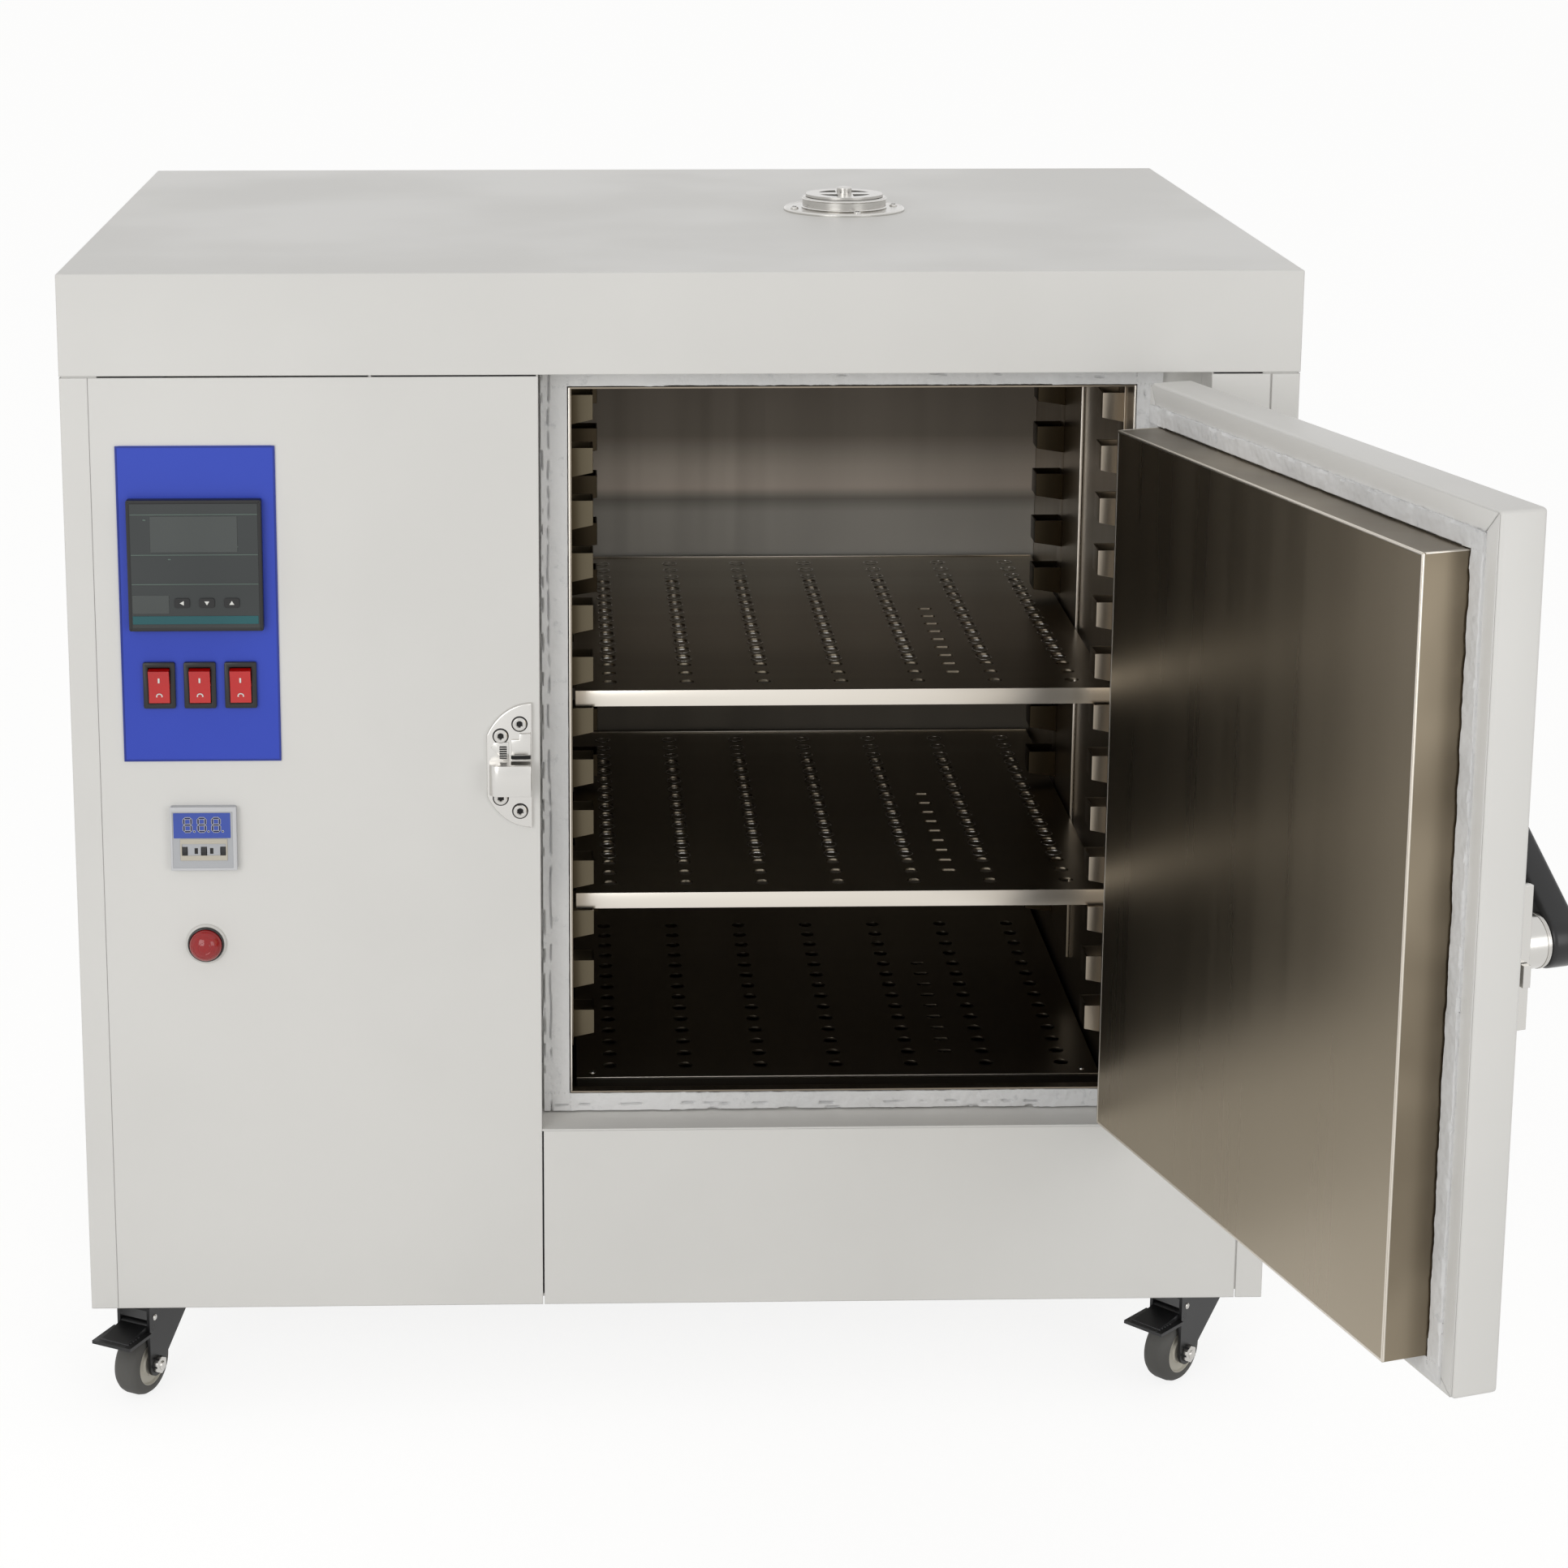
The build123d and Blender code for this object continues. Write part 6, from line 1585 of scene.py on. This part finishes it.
@dataclass
class Caster:
    """One swivel caster, drawn with its trail along X: tyre, hub, nuts, race and rivets."""

    spot: str
    x: float
    y: float
    swivel: float
    braked: bool
    trail: float = 25.0
    radius: float = 25.0
    width: float = 20.0
    cheek: float = 14.5
    race: tuple[float, float] = (74.0, 79.5)
    rivet_places: tuple[Flat, ...] = ((-14.0, 64.0), (27.0, 64.0))
    rib_start: float = 46.0
    rib_pitch: float = 3.4
    pedal_top: float = 54.9

    def _wheel(self, shop: Workshop, place: Matrix) -> None:
        """Turn the tyre, its worn tread and the hub."""
        r, w = self.radius, self.width / 2
        side = Matrix.Translation((self.trail, 0.0, r)) @ Matrix.Rotation(math.pi / 2, 4, "X")
        tyre = [
            (17.0, -w), (19.5, -w), (r - 2.6, -w + 0.8), (r - 0.8, -w + 3.2), (r - 0.05, -w + 6.0),
            (r - 0.05, w - 6.0), (r - 0.8, w - 3.2), (r - 2.6, w - 0.8), (19.5, w), (17.0, w),
        ]
        hub = [(4.4, -w + 1.0), (9.0, -w + 0.6), (10.0, -w + 2.0), (15.6, -w + 2.0), (16.4, -w + 0.2),
               (17.2, -w + 0.2),
               (17.2, w - 0.2), (16.4, w - 0.2), (15.6, w - 2.0), (10.0, w - 2.0), (9.0, w - 0.6),
               (4.4, w - 1.0)]
        body = f"wheel_{self.spot}"
        node = (f"caster_wheel_{self.spot}",)
        shop.piece(f"tyre_{self.spot}", "tread_worn", body,
                   Blank.turned(tyre, ring=True, sides=72).apply(side),
                   place=place, replaces=node)
        shop.piece(f"hub_{self.spot}", "hub_ivory", body, Blank.turned(hub, ring=True).apply(side),
                   place=place,
                   replaces=node)

    def build(self, shop: Workshop) -> None:
        """Make the caster's pieces."""
        place = Matrix.Translation((self.x, self.y, 0.0)) @ Matrix.Rotation(math.radians(self.swivel), 4, "Z")
        self._wheel(shop, place)
        swivel = f"swivel_{self.spot}"
        low, high = self.race
        race = [(14.0, low - 0.2), (19.4, low - 0.2), (20.4, low + 1.0), (20.4, high - 1.6), (19.0, high),
                (14.0, high)]
        shop.piece(f"race_{self.spot}", "bare_steel", "cabinet", Blank.turned(race, ring=True), place=place)
        nuts, rivets = [], []
        for facing, way in ((Facing.FRONT, -1.0), (Facing.BACK, 1.0)):
            nut = Blank.disc(6.9, 4.0, sides=6).edge(0.6, 2)
            nuts.append(nut.stand(facing, self.trail, way * self.cheek, self.radius))
            tip = Blank.turned([(0.0, 5.6), (2.6, 5.4), (3.4, 4.6), (3.4, 0.0), (0.0, 0.0)], sides=24)
            nuts.append(tip.stand(facing, self.trail, way * self.cheek, self.radius))
            for x, z in self.rivet_places:
                head = Blank.turned([(0.0, 1.2), (1.6, 1.0), (2.4, 0.3), (2.4, 0.0), (0.0, 0.0)], sides=20)
                rivets.append(head.stand(facing, x, way * self.cheek, z))
        shop.piece(f"axle_nuts_{self.spot}", "bare_steel", swivel, *nuts, place=place)
        shop.piece(f"fork_rivets_{self.spot}", "bare_steel", swivel, *rivets, place=place)
        if self.braked:
            ribs = []
            for step in range(5):
                rib = Blank.panel(1.6, 26.0, 0.8, corner=0.5).edge(0.3, 1, lambda place: place.z > 0.7)
                ribs.append(rib.move(self.rib_start + self.rib_pitch * step, 0.0, self.pedal_top))
            shop.piece(f"pedal_ribs_{self.spot}", "pedal_grey", f"pedal_{self.spot}", *ribs, place=place)


@dataclass
class Outside:
    """Screws of the outer panels, and the rim and the bore of the power inlet."""

    left: float = -440.0
    right: float = 440.0
    back: float = 310.0
    low: float = 76.0
    seam: float = 785.0
    margin: float = 14.0
    inlet: Flat = (-330.0, 166.0)
    inlet_end: float = 335.2
    bore: float = 5.2

    def build(self, shop: Workshop) -> None:
        """Make the screws and the inlet's rim."""
        rear = Screws("back_panel_screws", "cabinet", radius=3.4, height=1.8)
        for z in (self.low + self.margin, (self.low + self.seam) / 2, self.seam - self.margin):
            for step in range(4):
                x = self.left + 2 * self.margin + step * (self.right - self.left - 4 * self.margin) / 3
                rear.add(Facing.BACK, x, self.back, z)
        rear.build(shop)
        sides = Screws("side_panel_screws", "cabinet", radius=3.2, height=1.2)
        for z in (self.low + self.margin, (self.low + self.seam) / 2, self.seam - self.margin):
            for y in (self.back - self.margin, -self.back + 3 * self.margin):
                sides.add(Facing.LEFT, self.left + 1.3, y, z)
                sides.add(Facing.RIGHT, self.right - 1.3, y, z)
        sides.build(shop)
        x, z = self.inlet
        rim = Blank.turned([(11.4, 0.0), (14.0, 0.0), (14.0, 2.0), (12.6, 3.2), (11.4, 3.2)], ring=True)
        # The bore is a dark disc: painted shade inside the inlet.
        bore = Blank.disc(self.bore, 1.0, sides=32).stand(Facing.BACK, x, self.inlet_end, z)
        shop.piece("inlet_rim", "inlet_black", "cabinet", rim.stand(Facing.BACK, x, self.back + 2.0, z))
        shop.piece("inlet_bore_painted_shade", "painted_shade_dark", "cabinet", bore)


@dataclass
class Studio:
    """Pale floor, soft lamps and the camera at the photograph's place."""

    camera_place: tuple[float, float, float] = (-0.0902, -2.6240, 1.2012)
    camera_pitch: float = 0.2068
    camera_yaw: float = 0.0222
    camera_lens: float = 76.25
    camera_shift: tuple[float, float] = (0.10, -0.20)
    floor_size: float = 60.0
    floor_glow: float = 1.16
    floor_shadow: float = 0.28
    sky: float = 0.6

    def build(self) -> None:
        """Set up camera, floor, world and lamps."""
        self._camera()
        self._floor()
        self._world()
        self._lamps()

    def _camera(self) -> None:
        """Place the camera."""
        data = bpy.data.cameras.new("camera")
        data.lens = self.camera_lens
        data.sensor_width = 36.0
        data.shift_x, data.shift_y = self.camera_shift
        data.clip_end = 60.0
        camera = bpy.data.objects.new("camera", data)
        camera.location = self.camera_place
        camera.rotation_euler = (math.pi / 2 - self.camera_pitch, 0.0, -self.camera_yaw)
        bpy.context.scene.collection.objects.link(camera)
        bpy.context.scene.camera = camera

    def _floor(self) -> None:
        """Lay the floor, white to the camera and pale to the light."""
        mesh = bmesh.new()
        bmesh.ops.create_grid(mesh, x_segments=1, y_segments=1, size=self.floor_size / 2)
        data = bpy.data.meshes.new("floor")
        mesh.to_mesh(data)
        mesh.free()
        floor = bpy.data.objects.new("floor", data)
        bpy.context.scene.collection.objects.link(floor)
        material = bpy.data.materials.new("floor_white")
        material.use_nodes = True
        hand = Nodes(material.node_tree)
        material.node_tree.nodes.clear()
        matt = hand.add("ShaderNodeBsdfDiffuse")
        matt.inputs["Color"].default_value = tint(236, 236, 234)
        glow = hand.add("ShaderNodeEmission")
        glow.inputs["Strength"].default_value = self.floor_glow
        shown = hand.add("ShaderNodeMixShader")
        shown.inputs[0].default_value = self.floor_shadow
        hand.link(glow.outputs[0], shown.inputs[1])
        hand.link(matt.outputs[0], shown.inputs[2])
        mixed = hand.add("ShaderNodeMixShader")
        hand.link(self._seen(hand), mixed.inputs[0])
        hand.link(matt.outputs[0], mixed.inputs[1])
        hand.link(shown.outputs[0], mixed.inputs[2])
        output = hand.add("ShaderNodeOutputMaterial")
        hand.link(mixed.outputs[0], output.inputs["Surface"])
        data.materials.append(material)

    @staticmethod
    def _seen(hand: Nodes) -> bpy.types.NodeSocket:
        """Return 1 for camera, glossy and transmission rays, which see the background white."""
        path = hand.add("ShaderNodeLightPath")
        share = hand.math("MAXIMUM", path.outputs["Is Camera Ray"], path.outputs["Is Transmission Ray"])
        return hand.math("MAXIMUM", share, path.outputs["Is Glossy Ray"])

    def _world(self) -> None:
        """Surround the scene with plain pale light, white to the camera."""
        world = bpy.data.worlds.new("studio")
        bpy.context.scene.world = world
        world.use_nodes = True
        hand = Nodes(world.node_tree)
        world.node_tree.nodes.clear()
        dim = hand.add("ShaderNodeBackground")
        dim.inputs["Color"].default_value = (1.0, 0.99, 0.975, 1.0)
        dim.inputs["Strength"].default_value = self.sky
        white = hand.add("ShaderNodeBackground")
        white.inputs["Color"].default_value = (1.0, 1.0, 1.0, 1.0)
        white.inputs["Strength"].default_value = 1.0
        mixed = hand.add("ShaderNodeMixShader")
        hand.link(self._seen(hand), mixed.inputs[0])
        hand.link(dim.outputs[0], mixed.inputs[1])
        hand.link(white.outputs[0], mixed.inputs[2])
        output = hand.add("ShaderNodeOutputWorld")
        hand.link(mixed.outputs[0], output.inputs["Surface"])

    def _lamps(self) -> None:
        """Hang the soft boxes."""
        for name, place, aim, size, power in (
            ("key", (-1.9, -3.4, 1.5), (0, -0.3, 0.45), 2.0, 34.0),
            ("fill", (2.4, -3.2, 1.1), (0.1, -0.3, 0.45), 1.8, 18.0),
        ):
            data = bpy.data.lights.new(name, "AREA")
            data.shape = "SQUARE"
            data.size = size
            data.energy = power
            lamp = bpy.data.objects.new(name, data)
            lamp.location = place
            lamp.rotation_euler = (Vector(aim) - Vector(place)).to_track_quat("-Z", "Y").to_euler()
            bpy.context.scene.collection.objects.link(lamp)


def main() -> None:
    """Build the studio and every sub-assembly in order."""
    logging.basicConfig(level=logging.INFO, format="%(message)s")
    bpy.context.scene.view_settings.view_transform = "Standard"
    palette = Palette()
    Studio().build()
    Frame().dress(palette)
    shop = Workshop(palette)
    Mouth().build(shop)
    Racks().build(shop)
    Shelf("upper_shelf", "upper_shelf", 533.5).build(shop)
    Shelf("lower_shelf", "lower_shelf", 375.5).build(shop)
    BottomPlate().build(shop)
    BackWall().build(shop)
    Door().build(shop)
    ControlPlate().build(shop)
    Controller().build(shop)
    Rockers().build(shop)
    TimerFace().build(shop)
    SignalLamp().build(shop)
    Keeper().build(shop)
    Latch().build(shop)
    Vent().build(shop)
    Caster("front_left", -395.0, -270.0, -117.0, True).build(shop)
    Caster("front_right", 395.0, -270.0, -135.0, True).build(shop)
    Caster("rear_left", -395.0, 270.0, 108.0, False).build(shop)
    Caster("rear_right", 395.0, 270.0, 62.0, False).build(shop)
    Outside().build(shop)


if __name__ == "__main__":
    main()
